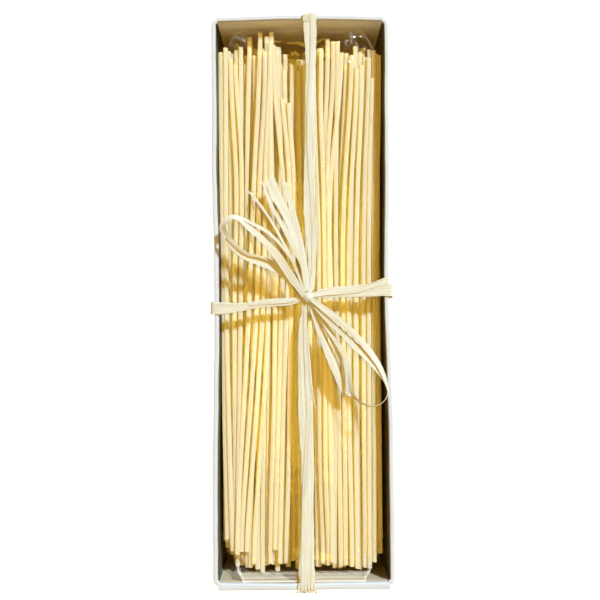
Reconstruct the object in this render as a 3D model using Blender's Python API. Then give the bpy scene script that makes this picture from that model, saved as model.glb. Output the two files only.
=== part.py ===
"""A pack of long dry spaghetti, lying on its back.

An open tray of folded card holds a clear bag full of spaghetti. A tie of flat raffia strips runs
round the pack both ways and ends in a knot and a bow on top.

Units are metres and +Z is up. +Y runs along the pack and +X across it. The origin is on the
surface that the pack lies on, under the pack's middle.
"""

import math
import random

import bmesh
import bpy
from mathutils import Vector

MM = 0.001

# Driving dimensions: the tray
TRAY_LENGTH = 288.6 * MM        # outside, end wall to end wall
TRAY_WIDTH = 90.0 * MM          # outside, side wall to side wall
RIM_HEIGHT = 48.0 * MM          # top of the walls, above the surface
FLOOR_THICK = 1.2 * MM
SIDE_THICK = 2.2 * MM           # a side wall is card folded double
FAR_THICK = 2.2 * MM            # the end wall at +Y
NEAR_THICK = 2.8 * MM           # the end wall at -Y, in its middle
NEAR_SWELL = 0.8 * MM           # how much thicker the near wall is at its corners
FAR_BOW = 0.9 * MM              # how far the far wall bows out in its middle
END_WALL_INSET = 2.6 * MM       # from the tray's side to the end of an end wall
SIDE_WALL_INSET = 2.0 * MM      # from the tray's end to the end of a side wall
CURL_RADIUS = 3.4 * MM          # the side walls' ends curl in until they meet the end walls
CURL_ANGLE = math.radians(80)
PINCH = 1.4 * MM                # the tie draws each side wall's rim in by this
PINCH_SPAN = 52.0 * MM

# Driving dimensions: the raffia
RAFFIA_THICK = 0.7 * MM
GAP = 0.3 * MM                  # clearance between touching pieces
KNOT_CENTRE = Vector((3.0, 0.4, 50.0)) * MM
KNOT_SIZE = Vector((6.4, 5.8, 4.6)) * MM

# Driving dimensions: the bag of spaghetti
STRAND_PITCH = 2.9 * MM         # from one ridge of the bundle to the next
STRAND_RELIEF = 0.9 * MM        # depth of the groove between two strands
CROWN_HEIGHT = 42.3 * MM        # top of the bundle along its middle
CROWN_DROP = 3.6 * MM           # how much lower the bundle is at its sides
BUNDLE_HALF_WIDTH = 41.9 * MM
BUNDLE_SHOULDER = 6.0 * MM      # radius of the bundle's upper edges
SEAL_THICK = 0.9 * MM
SEAL_HEIGHT = 45.6 * MM         # middle of the flat seals, which stand up almost to the rims
SEAL_DEPTH = 4.2 * MM
BAG_FAR = 140.9 * MM            # edge of the far seal
BAG_NEAR = -139.9 * MM          # edge of the near seal

# Values that follow from these
HALF_LENGTH = TRAY_LENGTH / 2
HALF_WIDTH = TRAY_WIDTH / 2
TRAY_UNDERSIDE = RAFFIA_THICK + GAP
FLOOR_TOP = TRAY_UNDERSIDE + FLOOR_THICK
BAG_UNDERSIDE = FLOOR_TOP + GAP
RAFFIA_OVER = RIM_HEIGHT + GAP

CARD_WHITE = (0.86, 0.86, 0.85)
PASTA_CREAM = (0.86, 0.70, 0.36)
RAFFIA_CREAM = (0.88, 0.82, 0.66)


def clear_scene():
    for item in list(bpy.data.objects):
        bpy.data.objects.remove(item, do_unlink=True)


def new_collection(name):
    collection = bpy.data.collections.new(name)
    bpy.context.scene.collection.children.link(collection)
    return collection


def finish_material(name, colour, roughness):
    made = bpy.data.materials.new(name)
    made.use_nodes = True
    shader = made.node_tree.nodes["Principled BSDF"]
    shader.inputs["Base Color"].default_value = (*colour, 1.0)
    shader.inputs["Roughness"].default_value = roughness
    shader.inputs["Metallic"].default_value = 0.0
    return made


def mesh_object(name, bm, collection, material=None, smooth_angle=None):
    """Puts a bmesh into a named object, with its faces pointing out."""
    bmesh.ops.recalc_face_normals(bm, faces=bm.faces)
    mesh = bpy.data.meshes.new(name)
    bm.to_mesh(mesh)
    bm.free()
    if smooth_angle is not None:
        mesh.shade_smooth()
        mesh.set_sharp_from_angle(angle=smooth_angle)
    made = bpy.data.objects.new(name, mesh)
    collection.objects.link(made)
    if material is not None:
        mesh.materials.append(material)
    return made


def loft(sections, ring=False):
    """A skin over closed sections of equal point counts, capped at its ends unless it is a ring."""
    bm = bmesh.new()
    rows = [[bm.verts.new(point) for point in section] for section in sections]
    pairs = list(zip(rows, rows[1:]))
    if ring:
        pairs.append((rows[-1], rows[0]))
    for row, following in pairs:
        count = len(row)
        for i in range(count):
            j = (i + 1) % count
            bm.faces.new((row[i], row[j], following[j], following[i]))
    if not ring:
        bm.faces.new(reversed(rows[0]))
        bm.faces.new(rows[-1])
    return bm


def join_solids(base, others):
    """Joins the other solids to the base with Boolean unions, which stay live on the base."""
    for other in others:
        other.hide_render = True
        other.display_type = 'WIRE'
        union = base.modifiers.new("join_" + other.name, 'BOOLEAN')
        union.operation = 'UNION'
        union.solver = 'EXACT'
        union.object = other


# ---------------------------------------------------------------- tray

def pinch_at(y):
    """How far the tie has drawn a side wall's rim in, at a place along the tray."""
    return PINCH * math.exp(-(y / PINCH_SPAN) ** 2)


def wall_section(place, outward, thickness, foot):
    """A wall's upright section, with a folded, round top: outward is the wall's outer side."""
    half = thickness / 2
    centre = place - outward * half
    outline = [(-half, foot), (half, foot)]
    arc_centre = RIM_HEIGHT - half
    steps = 6
    for i in range(steps + 1):
        angle = math.pi * i / steps
        outline.append((half * math.cos(angle), arc_centre + half * math.sin(angle)))
    return [centre + outward * u + Vector((0, 0, z)) for u, z in outline]


def side_wall_stations():
    """Places and outward directions along the right side wall's outer face, ends curled in."""
    straight = HALF_LENGTH - SIDE_WALL_INSET - CURL_RADIUS * math.sin(CURL_ANGLE)
    steps = 18
    curl_steps = 4
    stations = []
    for i in range(steps + 1):
        y = straight * (2 * i / steps - 1)
        stations.append((Vector((HALF_WIDTH, y, 0)), Vector((1, 0, 0))))
    for end in (-1, 1):
        for i in range(1, curl_steps + 1):
            angle = CURL_ANGLE * i / curl_steps
            place = Vector((HALF_WIDTH - CURL_RADIUS * (1 - math.cos(angle)),
                            end * (straight + CURL_RADIUS * math.sin(angle)), 0))
            station = (place, Vector((math.cos(angle), end * math.sin(angle), 0)))
            if end < 0:
                stations.insert(0, station)
            else:
                stations.append(station)
    return stations


def side_wall(name, side, collection):
    """A double side wall: side is 1 for the right one and -1 for the left one."""
    foot = TRAY_UNDERSIDE + 0.2 * MM
    sections = []
    for place, outward in side_wall_stations():
        place = Vector((side * place.x, place.y, place.z))
        outward = Vector((side * outward.x, outward.y, 0))
        section = wall_section(place, outward, SIDE_THICK, foot)
        for point in section:
            point.x -= side * pinch_at(point.y) * (point.z / RIM_HEIGHT)
        sections.append(section)
    return mesh_object(name, loft(sections), collection)


def end_wall(name, end, collection):
    """A double end wall: end is 1 for the far one and -1 for the near one."""
    foot = TRAY_UNDERSIDE + 0.2 * MM
    reach = HALF_WIDTH - END_WALL_INSET
    steps = 12
    sections = []
    for i in range(steps + 1):
        share = 2 * i / steps - 1
        bulge = 1 - share ** 2
        if end > 0:
            outer = HALF_LENGTH - FAR_BOW * (1 - bulge)
            thickness = FAR_THICK
        else:
            outer = -HALF_LENGTH
            thickness = NEAR_THICK + NEAR_SWELL * (1 - bulge)
        place = Vector((reach * share, outer, 0))
        sections.append(wall_section(place, Vector((0, end, 0)), thickness, foot))
    return mesh_object(name, loft(sections), collection)


def tray_floor(collection, material):
    """The tray's floor, a little inside the walls' outer faces where the card folds up."""
    fold = 0.4 * MM
    bm = bmesh.new()
    bmesh.ops.create_cube(bm, size=1.0)
    bmesh.ops.scale(bm, verts=bm.verts, vec=(TRAY_WIDTH - 2 * fold, TRAY_LENGTH - 2 * fold - FAR_BOW,
                                             FLOOR_THICK))
    bmesh.ops.translate(bm, verts=bm.verts, vec=(0, -FAR_BOW / 2, TRAY_UNDERSIDE + FLOOR_THICK / 2))
    corners = [edge for edge in bm.edges
               if abs(edge.verts[0].co.z - edge.verts[1].co.z) > FLOOR_THICK / 2]
    bmesh.ops.bevel(bm, geom=corners, offset=END_WALL_INSET, segments=1, affect='EDGES')
    return mesh_object("tray", bm, collection, material)


def make_tray(collection, cutters, material):
    tray = tray_floor(collection, material)
    walls = [side_wall("wall_right", 1, cutters), side_wall("wall_left", -1, cutters),
             end_wall("wall_far", 1, cutters), end_wall("wall_near", -1, cutters)]
    join_solids(tray, walls)


# ---------------------------------------------------------------- bag of spaghetti

def bundle_top(x, half_width, ridges):
    """Height of the bundle's top: a low crown with round shoulders and one ridge a strand."""
    across = min(abs(x) / half_width, 1.0)
    height = CROWN_HEIGHT - CROWN_DROP * across ** 2
    into_shoulder = abs(x) - (half_width - BUNDLE_SHOULDER)
    if into_shoulder > 0:
        drop = BUNDLE_SHOULDER - math.sqrt(max(BUNDLE_SHOULDER ** 2 - into_shoulder ** 2, 0))
        height -= drop
    place = x / STRAND_PITCH
    ridge = ridges[round(place) % len(ridges)]
    groove = STRAND_RELIEF * (2 * (place - round(place))) ** 2
    return height - groove - ridge


def bag_section(y, share, ridges, columns):
    """The bag's upright section at y. share runs from 0 in the full bundle to 1 at a flat seal."""
    half_width = BUNDLE_HALF_WIDTH - pinch_at(y) * 0.95
    seal_half_width = 32.5 * MM
    reach = half_width + (seal_half_width - half_width) * share
    top = []
    for i in range(columns + 1):
        x = (2 * i / columns - 1) * half_width
        full = bundle_top(x, half_width, ridges)
        flat = SEAL_HEIGHT + SEAL_THICK / 2
        top.append(Vector((x / half_width * reach, y, full + (flat - full) * share)))
    steps = 6
    bottom = []
    under = BAG_UNDERSIDE + (SEAL_HEIGHT - SEAL_THICK / 2 - BAG_UNDERSIDE) * share
    for i in range(steps + 1):
        x = reach * (1 - 2 * i / steps)
        bottom.append(Vector((x, y, under)))
    return top + bottom


def make_bag(collection, material):
    """The sealed bag filled with spaghetti, out to its uneven outline and its two flat seals."""
    chance = random.Random(11)
    ridges = [chance.uniform(0, 1.1) * MM for _ in range(31)]
    columns = 84
    near_body, far_body = -129.0 * MM, 131.0 * MM
    stations = [(BAG_NEAR, 1.0), (BAG_NEAR + SEAL_DEPTH, 1.0)]
    body_steps = 14
    slope_steps = 3
    for i in range(1, slope_steps):
        share = 1 - i / slope_steps
        stations.append((near_body + (BAG_NEAR + SEAL_DEPTH - near_body) * share, share ** 1.5))
    for i in range(body_steps + 1):
        stations.append((near_body + (far_body - near_body) * i / body_steps, 0.0))
    for i in range(1, slope_steps):
        share = i / slope_steps
        stations.append((far_body + (BAG_FAR - SEAL_DEPTH - far_body) * share, share ** 1.5))
    stations += [(BAG_FAR - SEAL_DEPTH, 1.0), (BAG_FAR, 1.0)]
    sections = [bag_section(y, share, ridges, columns) for y, share in stations]
    mesh_object("bag_of_spaghetti", loft(sections), collection, material,
                smooth_angle=math.radians(50))


# ---------------------------------------------------------------- raffia

def smooth_route(stations, steps):
    """Catmull-Rom values through a list of equal-length tuples, with some steps a span."""
    ends = [stations[0], *stations, stations[-1]]
    route = []
    for i in range(1, len(ends) - 2):
        before, start, stop, after = ends[i - 1:i + 3]
        for step in range(steps):
            t = step / steps
            route.append(tuple(
                0.5 * (2 * b + (c - a) * t + (2 * a - 5 * b + 4 * c - d) * t ** 2
                       + (3 * b - a - 3 * c + d) * t ** 3)
                for a, b, c, d in zip(before, start, stop, after)))
    route.append(stations[-1])
    return route


def strip_section(place, along, width, roll, thickness):
    """A flat strip's section: roll 0 lies flat, and roll 90 degrees stands on its edge."""
    level = Vector((0, 0, 1)).cross(along).normalized()
    up = along.cross(level).normalized()
    side = level * math.cos(roll) + up * math.sin(roll)
    face = along.cross(side).normalized()
    across, through = side * width / 2, face * thickness / 2
    return [place - across - through, place + across - through,
            place + across + through, place - across + through]


def make_strip(name, stations, collection, material, steps=3, thickness=0.5 * MM):
    """A raffia strip along stations of (x, y, z, width in mm, roll in degrees)."""
    route = smooth_route(stations, steps)
    places = [Vector(station[:3]) * MM for station in route]
    sections = []
    for i, station in enumerate(route):
        along = (places[min(i + 1, len(places) - 1)] - places[max(i - 1, 0)]).normalized()
        sections.append(strip_section(places[i], along, station[3] * MM,
                                      math.radians(station[4]), thickness))
    return mesh_object(name, loft(sections), collection, material)


def band_route(half_foot, half_rim, over):
    """A raffia band's inner line round the tray, as (distance across, height) pairs.

    It starts under the middle, runs out and up the positive side, over the top through the given
    list of top places, and down the negative side.
    """
    corner = 0.8 * MM
    inner_bottom = RAFFIA_THICK
    inner_top = RAFFIA_OVER
    right = [(0.0, inner_bottom), (half_foot - corner, inner_bottom),
             (half_foot, inner_bottom + corner), (half_rim, inner_top - corner),
             (half_rim - corner, inner_top)]
    left = [(-across, height) for across, height in reversed(right[1:])]
    return right + [(across, inner_top) for across in over] + left


def ring_sections(route, widths, place_at):
    """Sections of a closed band. widths gives each station's width and sideways shift."""
    sections = []
    count = len(route)
    middle_height = RIM_HEIGHT / 2
    for i, (across, height) in enumerate(route):
        before, after = route[i - 1], route[(i + 1) % count]
        along = Vector((after[0] - before[0], after[1] - before[1])).normalized()
        normal = Vector((along.y, -along.x))
        if abs(height - middle_height) > middle_height - 1.5 * MM and abs(normal.y) > 0.9:
            normal = Vector((0, math.copysign(1, normal.y)))
        outer = (across + normal.x * RAFFIA_THICK, height + normal.y * RAFFIA_THICK)
        half, shift = widths(across, height)
        sections.append([place_at(across, height, shift - half), place_at(across, height, shift + half),
                         place_at(outer[0], outer[1], shift + half),
                         place_at(outer[0], outer[1], shift - half)])
    return sections


def blend_values(value, table):
    """Straight-line reading of a table of (place, value, value) rows, in rising order."""
    if value <= table[0][0]:
        return table[0][1:]
    for low, high in zip(table, table[1:]):
        if value <= high[0]:
            t = (value - low[0]) / (high[0] - low[0])
            return tuple(a + (b - a) * t for a, b in zip(low[1:], high[1:]))
    return table[-1][1:]


# Rows of (place along the band, half width, sideways place of its middle line), in millimetres
LENGTHWISE_TOP = [(-145, 4.1, 1.5), (-60, 3.5, 1.3), (-8, 1.4, 2.3), (8, 2.1, 4.6), (60, 3.0, 4.7),
                  (145, 3.5, 5.0)]
CROSSWISE_TOP = [(-45, 3.0, -4.9), (-20, 2.0, -3.0), (0, 1.5, -0.6), (8, 1.8, 2.0), (30, 3.3, 3.7),
                 (45, 4.8, 4.7)]


def top_values(table, place):
    half, shift = blend_values(place / MM, table)
    return half * MM, shift * MM


def make_tie(collection, cutters, material):
    """The two raffia bands round the pack, joined with the knot that lies where they cross."""
    over_long = [y * MM for y in (100, 60, 30, 8, 0, -8, -30, -60, -100)]
    half_end = HALF_LENGTH + GAP

    def long_widths(y, height):
        half, shift = top_values(LENGTHWISE_TOP, y)
        return (half, shift) if height > RIM_HEIGHT / 2 else (3.0 * MM, shift)

    lengthwise = ring_sections(band_route(half_end, half_end, over_long), long_widths,
                               lambda y, z, x: Vector((x, y, z)))
    tie = mesh_object("raffia_tie", loft(lengthwise, ring=True), collection, material)

    over_cross = [x * MM for x in (30, 20, 8, 0, -20, -30)]

    def cross_widths(x, height):
        half, shift = top_values(CROSSWISE_TOP, x)
        return (half, shift) if height > RIM_HEIGHT / 2 else (3.0 * MM, shift)

    route = band_route(HALF_WIDTH + GAP, HALF_WIDTH - PINCH + GAP, over_cross)
    crosswise = mesh_object("crosswise_band", loft(ring_sections(route, cross_widths,
                            lambda x, z, y: Vector((x, y, z))), ring=True), cutters)

    bm = bmesh.new()
    bmesh.ops.create_uvsphere(bm, u_segments=16, v_segments=10, radius=0.5)
    bmesh.ops.scale(bm, verts=bm.verts, vec=KNOT_SIZE)
    bmesh.ops.translate(bm, verts=bm.verts, vec=KNOT_CENTRE)
    knot = mesh_object("knot", bm, cutters)
    join_solids(tie, [crosswise, knot])


# Rows of (x, y, z, width) in millimetres and roll in degrees, from the knot outwards
LOOP_LEFT = [(-1.6, 5.4, 52.6, 2.6, 15), (-9.2, 17.4, 55.2, 3.6, 15), (-16.4, 28.0, 57.0, 4.2, 20),
             (-24.2, 36.0, 57.6, 4.2, 40), (-31.1, 39.2, 57.0, 3.8, 65),
             (-36.2, 38.2, 56.0, 3.4, 80), (-38.4, 34.6, 55.2, 3.4, 60),
             (-36.6, 29.6, 54.4, 3.4, 35), (-31.6, 24.4, 53.6, 3.6, 15),
             (-24.7, 19.5, 53.0, 4.2, 5), (-16.2, 13.6, 52.6, 4.4, 0), (-9.0, 7.8, 52.2, 3.8, 0),
             (-3.4, 3.6, 51.6, 2.4, 0)]
LOOP_RIGHT = [(6.8, -1.6, 52.0, 2.6, 0), (12.4, -5.4, 53.4, 3.6, 0), (19.6, -11.6, 55.0, 4.2, -10),
              (26.9, -18.8, 56.4, 4.6, -20), (33.0, -27.4, 57.6, 4.4, -35),
              (38.0, -35.6, 58.4, 3.6, -60), (40.6, -42.8, 58.6, 3.0, -80),
              (40.8, -47.6, 58.0, 2.8, -85), (38.6, -51.4, 57.2, 2.8, -80),
              (34.0, -53.2, 56.2, 2.8, -75), (28.6, -51.8, 55.4, 2.8, -70),
              (25.2, -47.6, 54.8, 2.6, -60), (23.6, -40.8, 54.2, 2.6, -50),
              (21.6, -32.0, 53.6, 2.8, -35), (17.6, -23.0, 53.2, 2.8, -20),
              (12.4, -13.8, 52.6, 2.6, -10), (7.4, -5.2, 51.2, 2.2, 0)]
TAIL_FAR_WIDE = [(2.2, 4.0, 50.9, 2.4, 0), (0.4, 13.8, 50.8, 4.0, 0), (-3.9, 26.3, 50.6, 5.0, 0),
                 (-8.6, 38.8, 50.4, 5.6, 5), (-12.4, 49.0, 50.0, 5.8, 5),
                 (-15.0, 58.6, 49.6, 5.4, 0)]
TAIL_FAR_SLIM = [(-1.6, 4.6, 50.4, 1.0, 0), (-5.6, 15.0, 52.0, 1.2, 0), (-10.4, 27.6, 53.4, 1.6, 0),
                 (-15.4, 37.7, 53.0, 1.6, 0), (-20.2, 45.3, 52.2, 1.8, 0), (-24.0, 51.0, 51.2, 1.8, 0),
                 (-27.1, 54.3, 50.4, 1.4, 0)]
TAIL_NEAR_WIDE = [(4.4, -3.6, 50.6, 2.2, 0), (9.6, -13.6, 50.4, 4.0, 0), (14.9, -26.1, 50.2, 4.8, 0),
                  (18.8, -38.0, 49.8, 4.8, 0), (21.6, -48.6, 49.4, 4.2, 0)]
TAIL_NEAR_SLIM = [(2.2, -3.6, 49.9, 0.9, 0), (5.6, -18.6, 49.8, 0.9, 0), (10.6, -33.0, 49.8, 0.9, 0),
                  (16.4, -46.0, 49.4, 0.8, 0)]


def make_bow(collection, material):
    make_strip("raffia_loop_left", LOOP_LEFT, collection, material)
    make_strip("raffia_loop_right", LOOP_RIGHT, collection, material)
    make_strip("raffia_tail_far_wide", TAIL_FAR_WIDE, collection, material)
    make_strip("raffia_tail_far_slim", TAIL_FAR_SLIM, collection, material)
    make_strip("raffia_tail_near_wide", TAIL_NEAR_WIDE, collection, material)
    make_strip("raffia_tail_near_slim", TAIL_NEAR_SLIM, collection, material)


def main():
    clear_scene()
    pack = new_collection("spaghetti_pack")
    cutters = new_collection("joined_shapes")
    card = finish_material("card", CARD_WHITE, 0.6)
    pasta = finish_material("pasta", PASTA_CREAM, 0.55)
    raffia = finish_material("raffia", RAFFIA_CREAM, 0.7)
    make_tray(pack, cutters, card)
    make_bag(pack, pasta)
    make_tie(pack, cutters, raffia)
    make_bow(pack, raffia)


main()
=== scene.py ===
"""The looks of a pack of long dry spaghetti, lying on its back.

An open tray of folded white card holds a clear sealed bag of spaghetti. Two flat raffia strips run
round the pack, one lengthwise and one crosswise, and end in a knot and a bow on top.

Sizes are in millimetres in the lists and in metres in the meshes. +Y runs along the pack to its far
end, +X across it and +Z up, and the origin is on the surface under the pack's middle.
"""

import math

import bpy
import numpy as np
from bpy.props import FloatProperty, FloatVectorProperty, IntProperty, PointerProperty
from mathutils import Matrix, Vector


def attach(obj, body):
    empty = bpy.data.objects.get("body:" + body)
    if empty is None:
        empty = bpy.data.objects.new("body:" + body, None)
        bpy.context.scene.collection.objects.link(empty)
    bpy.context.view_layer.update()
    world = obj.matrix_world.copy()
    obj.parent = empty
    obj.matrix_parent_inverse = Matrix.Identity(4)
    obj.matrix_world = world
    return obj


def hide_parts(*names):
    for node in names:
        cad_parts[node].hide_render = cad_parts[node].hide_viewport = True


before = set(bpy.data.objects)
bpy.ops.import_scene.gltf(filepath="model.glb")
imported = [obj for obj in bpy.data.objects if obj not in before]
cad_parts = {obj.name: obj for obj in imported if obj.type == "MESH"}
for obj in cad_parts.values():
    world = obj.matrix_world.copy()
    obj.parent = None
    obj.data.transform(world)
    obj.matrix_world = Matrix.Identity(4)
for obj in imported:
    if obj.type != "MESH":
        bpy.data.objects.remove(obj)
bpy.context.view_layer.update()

MM = 0.001
CHANCES = 4096                  # random values before a wave comes round again

bl_info = {
    "name": "Spaghetti Pack",
    "version": (1, 0, 0),
    "blender": (4, 5, 0),
    "location": "3D View > Sidebar > Pack",
    "description": "Builds a card tray with a clear bag of dry spaghetti, tied with raffia",
    "category": "Add Mesh",
}

# The tray, in millimetres
TRAY_HALF_LENGTH = 144.3
TRAY_HALF_WIDTH = 45.0
RIM_HEIGHT = 48.0
TRAY_UNDERSIDE = 1.0
FLOOR_TOP = 2.2
FLOOR_FOLD = 0.5                # how far the floor stays inside the walls
SIDE_THICK = 2.2
FAR_THICK = 2.2
NEAR_THICK = 2.8
NEAR_SWELL = 0.8                # how much thicker the near wall is at its ends
FAR_BOW = 0.9                   # how far the far wall's ends stand back from its middle
END_WALL_INSET = 2.6
END_WALL_SETBACK = 0.2
SIDE_WALL_INSET = 2.0
CURL_RADIUS = 3.4               # of the side walls' ends, which curl in
CURL_ANGLE = math.radians(80)
PINCH = 1.4                     # how far the tie draws in the side walls' rims
PINCH_SPAN = 52.0
SIDE_FLAP_FOOT = RIM_HEIGHT - 6.0
NEAR_FLAP_FOOT = RIM_HEIGHT - 4.5
FAR_FLAP_FOOT = 38.0            # lower edge of the white flap turned in at the far wall
SIDE_LIP = 0.05                 # how far a flap stands out from the skin under it
END_LIP = 0.35
FLAP_EDGE = 0.25
RIM_SQUARENESS = 0.45           # 1 is a half-round rim and 0 a square one
RIM_WAVE_FOOT = 40.0            # only what is higher than this waves up and down
FOOT_RADIUS = 0.9
COAT_FOOT = FLOOR_TOP - 0.3     # lowest point of a wall's inner skin
WALL_FOOT = TRAY_UNDERSIDE + 0.05
FLOOR_UNDERSIDE = TRAY_UNDERSIDE + 0.06
WALL_ROWS = 12
WALL_STATIONS = 90
COAT, BROWN, FLAP = 0, 1, 2     # a wall's finishes

# The bundle, in millimetres
BUNDLE_HALF_WIDTH = 41.9
LAYER_STEP = 2.15
FIRST_LAYER_HEIGHT = 3.9
HIDDEN_LAYERS = 15
LAYER_COUNTS = (31, 32)         # strands in the even and in the odd layers
CARRYING = 64                   # how many of the last hidden strands can carry the shown ones
LAYER_PLACES = 31.4             # strands that fit side by side
HIDDEN_HALF_LENGTH = 129
HIDDEN_MIDDLE = (-4.0, 2.6)     # mean and spread of where along the pack a hidden strand lies
HIDDEN_MIDDLE_LEAST = -8.5
HIDDEN_ASIDE = 0.12             # spreads of its place, its turn at the ends and its ends
HIDDEN_ASKEW = 0.5
HIDDEN_UNEVEN = 0.7
FAR_CORNER = (125, 1.65)        # furthest end at the very side, and how much further per mm inwards
NEAR_CORNER = (-121.5, -1.95)
LIFT_FROM, LIFT_SPAN, LIFT_POWER = 20, 100, 1.5
FAR_LIFT = 1.6                  # how much higher the strands' far ends lie
EDGE_DROP = 1.8                 # how much lower the layers lie at the sides
STRAND_CROWN = 40.6             # middle line of the highest strands before the film presses them
STRAND_CROWN_DROP = 2.6
PRESSED = 0.65                  # share of what stands over it that the film takes off
CUT_SLOPE = 0.10
STRAND_STATIONS = np.linspace(-140, 140, 57)
BENDING_REACH = np.linspace(-14, 14, 9)     # a strand is too stiff to turn within this
EASE = 7                        # stations over which a strand's height is evened out
# The hidden strands lie deeper, so their tint is more golden and their bloom less: painted shade,
# on top of each strand's random tone
HIDDEN_SIDES, HIDDEN_RINGS, HIDDEN_SHADED_TINT, HIDDEN_SHADED_BLOOM = 8, 9, 0.45, 0.35
SHOWN_SIDES, SHOWN_RINGS, SHOWN_TINT, SHOWN_BLOOM = 16, 44, 0.25, 0.65
TINT_SPREAD, BLOOM_SPREAD = 0.2, 0.15

# The bag's film, in millimetres. The pairs say where a change towards the near and the far end
# begins and ends, and a third number is its power.
BAG_FAR = 140.9
SEAL_NEAR = -140.8
BAG_UNDERSIDE = 2.5
SEAL_HEIGHT = 46.2
FAR_SEAL_DROP = 3.0
SHEET_GAP = 0.3
FILM_ROOM = 0.25                # between the strands' sides and the film
FILM_PINCH = 0.9                # share of the walls' pinch that the film follows
UPPER_LIFT, LOWER_DROP = 0.15, 0.25         # of the two sheets from the seal's height
FILM_CROWN = 43.5
FILM_CROWN_DROP = 2.4
SHOULDER = 0.86                 # share of the half width where the film turns down
SHOULDER_DROP = 6.0
SEAL_HALF_WIDTH = 32.5
NEAR_SEAL_NARROWING = 2
SLANT = ((121, 139.5), (123, 138.5))
LOWER_SLANT = ((135, 140.5), (134, 140))
LOWER_RISE = ((137.0, 140.4, 1.5), (136.5, 140.4, 1.5))
CRUMPLED = ((124, 130), (120, 126))
CRIMPED = ((135.4, 135.8), (136, 136.5))
NEAR_RISE = (131, 135.6, 1.4)
FAR_HUMP = 0.65                 # how far the film nears the seal's height before it falls to it
HUMP_SPAN, FALL_SPAN = (124, 133), (131, 140.9)
CRUMPLE_HEIGHT = 0.30
CRUMPLE_WAVES = ((0.3, 62, 2.6), (1.3, 63, 3.4), (2.3, 64, 2.9))    # direction, seed and pitch
CRIMP_HEIGHT, CRIMP_PITCH, STRIPE_PITCH = 0.025, 1.3, 1.9
STRIPES = (1.1, 0.6)            # mean whiteness of the near seal and how much its stripes add
SEAL_BRIM = (2.2, 140.0, 140.5) # whiteness that its outer edge adds, and where that sets in
FAR_WHITENESS = 0.10
# The slanted edges' whiteness is whitish folded film with a painted highlight along it
EDGE_WHITENESS_AND_GLINT = (1.6, 0.8)     # of the near and the far slanted edges
# Whiteness along the puckers' fold lines is a painted highlight, in place of glints on the film
FOLD_GLINT_WHITENESS = 1.2
PUCKER_WIDTH, FOLD_WIDTH = 0.9, 0.4

# The raffia, in millimetres
BAND_TOP = 48.6
BAND_FOOT = 0.55
BAND_CORNER = 1.5
LENGTHWISE_REACH = TRAY_HALF_LENGTH + 0.55
CROSSWISE_REACH = TRAY_HALF_WIDTH + 0.7
STRIP_STEP = 0.9
STRIP_THICKNESS = 0.22
RIPPLE = 0.04
GUTTER = 0.012                  # how hollow a strip is, as a share of its width
FLAT_GUTTER, KNOT_GUTTER = 0.01, 0.06
CREASE_DEPTH, CREASE_WIDTH = 0.03, 0.13     # shares of the width and of half the width
EDGE_THIN = 0.4                 # thickness of a strip's edge, as a share

# The stage
STAGE_REACH = 6.0
STAGE_DROP = 0.0002
CAMERA_PLACE = (-0.00153, -0.01455, 0.40127)
CAMERA_TURN = (2.193, -0.075, -0.451)
CAMERA_LENS = 42.35
CAMERA_SENSOR = 36.0
CAMERA_CLIP = 0.01
FILL_COLOUR = (1.0, 0.75, 0.32)
WHITE = (1.0, 1.0, 1.0)
# Name, the setting of its strength, its width in degrees, colour and direction
LIGHTS = [("key_light", "sun_strength", 4.5, (0.60, 0.79, 1.0), (3.9, 6.0, 6.0)),
          ("warm_light", "warm_strength", 25.0, (1.0, 0.62, 0.08), (0.0, 0.0, 1.0)),
          ("near_light", "near_strength", 40.0, (1.0, 0.80, 0.38), (0.5, -6.0, 4.0))]
LIGHT_DISTANCE = 0.1            # times its direction


# ---------------------------------------------------------------- arrays

def wander(places, seed, pitch):
    """Smooth random values from -1 to 1 along the places.

    Random values stand at every pitch, and between two of them the value turns from one to the
    other as half a cosine wave does.
    """
    places = np.asarray(places, float) / pitch
    first = np.floor(places).astype(int)
    share = 0.5 - 0.5 * np.cos(np.pi * (places - first))
    chance = np.random.default_rng(seed).uniform(-1, 1, CHANCES)
    return chance[first % CHANCES] * (1 - share) + chance[(first + 1) % CHANCES] * share


def waves(places, *parts):
    """The sum of smooth random waves along the places. A part is a (height, seed, pitch)."""
    return sum(height * wander(places, seed, pitch) for height, seed, pitch in parts)


def smooth_rows(rows, step):
    """Rows at even steps along a smooth curve through the given rows, and their distances along it.

    A row is a place, a width and a roll, which is 0 where it is left out. Between rows b and c,
    with neighbours a and d, the value at share t is half of
    2b + (c - a)t + (2a - 5b + 4c - d)t^2 + (3b - a - 3c + d)t^3. The curve is then cut into even
    lengths of about the step.
    """
    rows = np.array([(*row, 0)[:5] for row in rows], float)
    padded = np.vstack([2 * rows[0] - rows[1], rows, 2 * rows[-1] - rows[-2]])
    a, b, c, d = (padded[i:len(padded) - 3 + i, None, :] for i in range(4))
    t = np.linspace(0, 1, 24, endpoint=False)[None, :, None]
    curve = 0.5 * (2 * b + (c - a) * t + (2 * a - 5 * b + 4 * c - d) * t ** 2
                   + (3 * b - a - 3 * c + d) * t ** 3)
    fine = np.vstack([curve.reshape(-1, rows.shape[1]), rows[-1:]])
    pieces = np.linalg.norm(np.diff(fine[:, :3], axis=0), axis=1)
    length = np.concatenate([[0], np.cumsum(pieces)])
    even = np.linspace(0, length[-1], max(int(length[-1] / step), 3) + 1)
    return np.column_stack([np.interp(even, length, column) for column in fine.T]), even


def unit(vectors):
    """The vectors, each divided by its own length."""
    return vectors / np.linalg.norm(vectors, axis=-1, keepdims=True)


def ring_faces(rings, points, first=0):
    """Four-sided faces between one closed ring of points and the next, ring after ring."""
    ring, point = np.meshgrid(np.arange(rings - 1), np.arange(points), indexing="ij")
    beside, after = (point + 1) % points, ring + 1
    faces = np.stack([ring * points + point, ring * points + beside,
                      after * points + beside, after * points + point], axis=-1)
    return faces.reshape(-1, 4) + first


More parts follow.
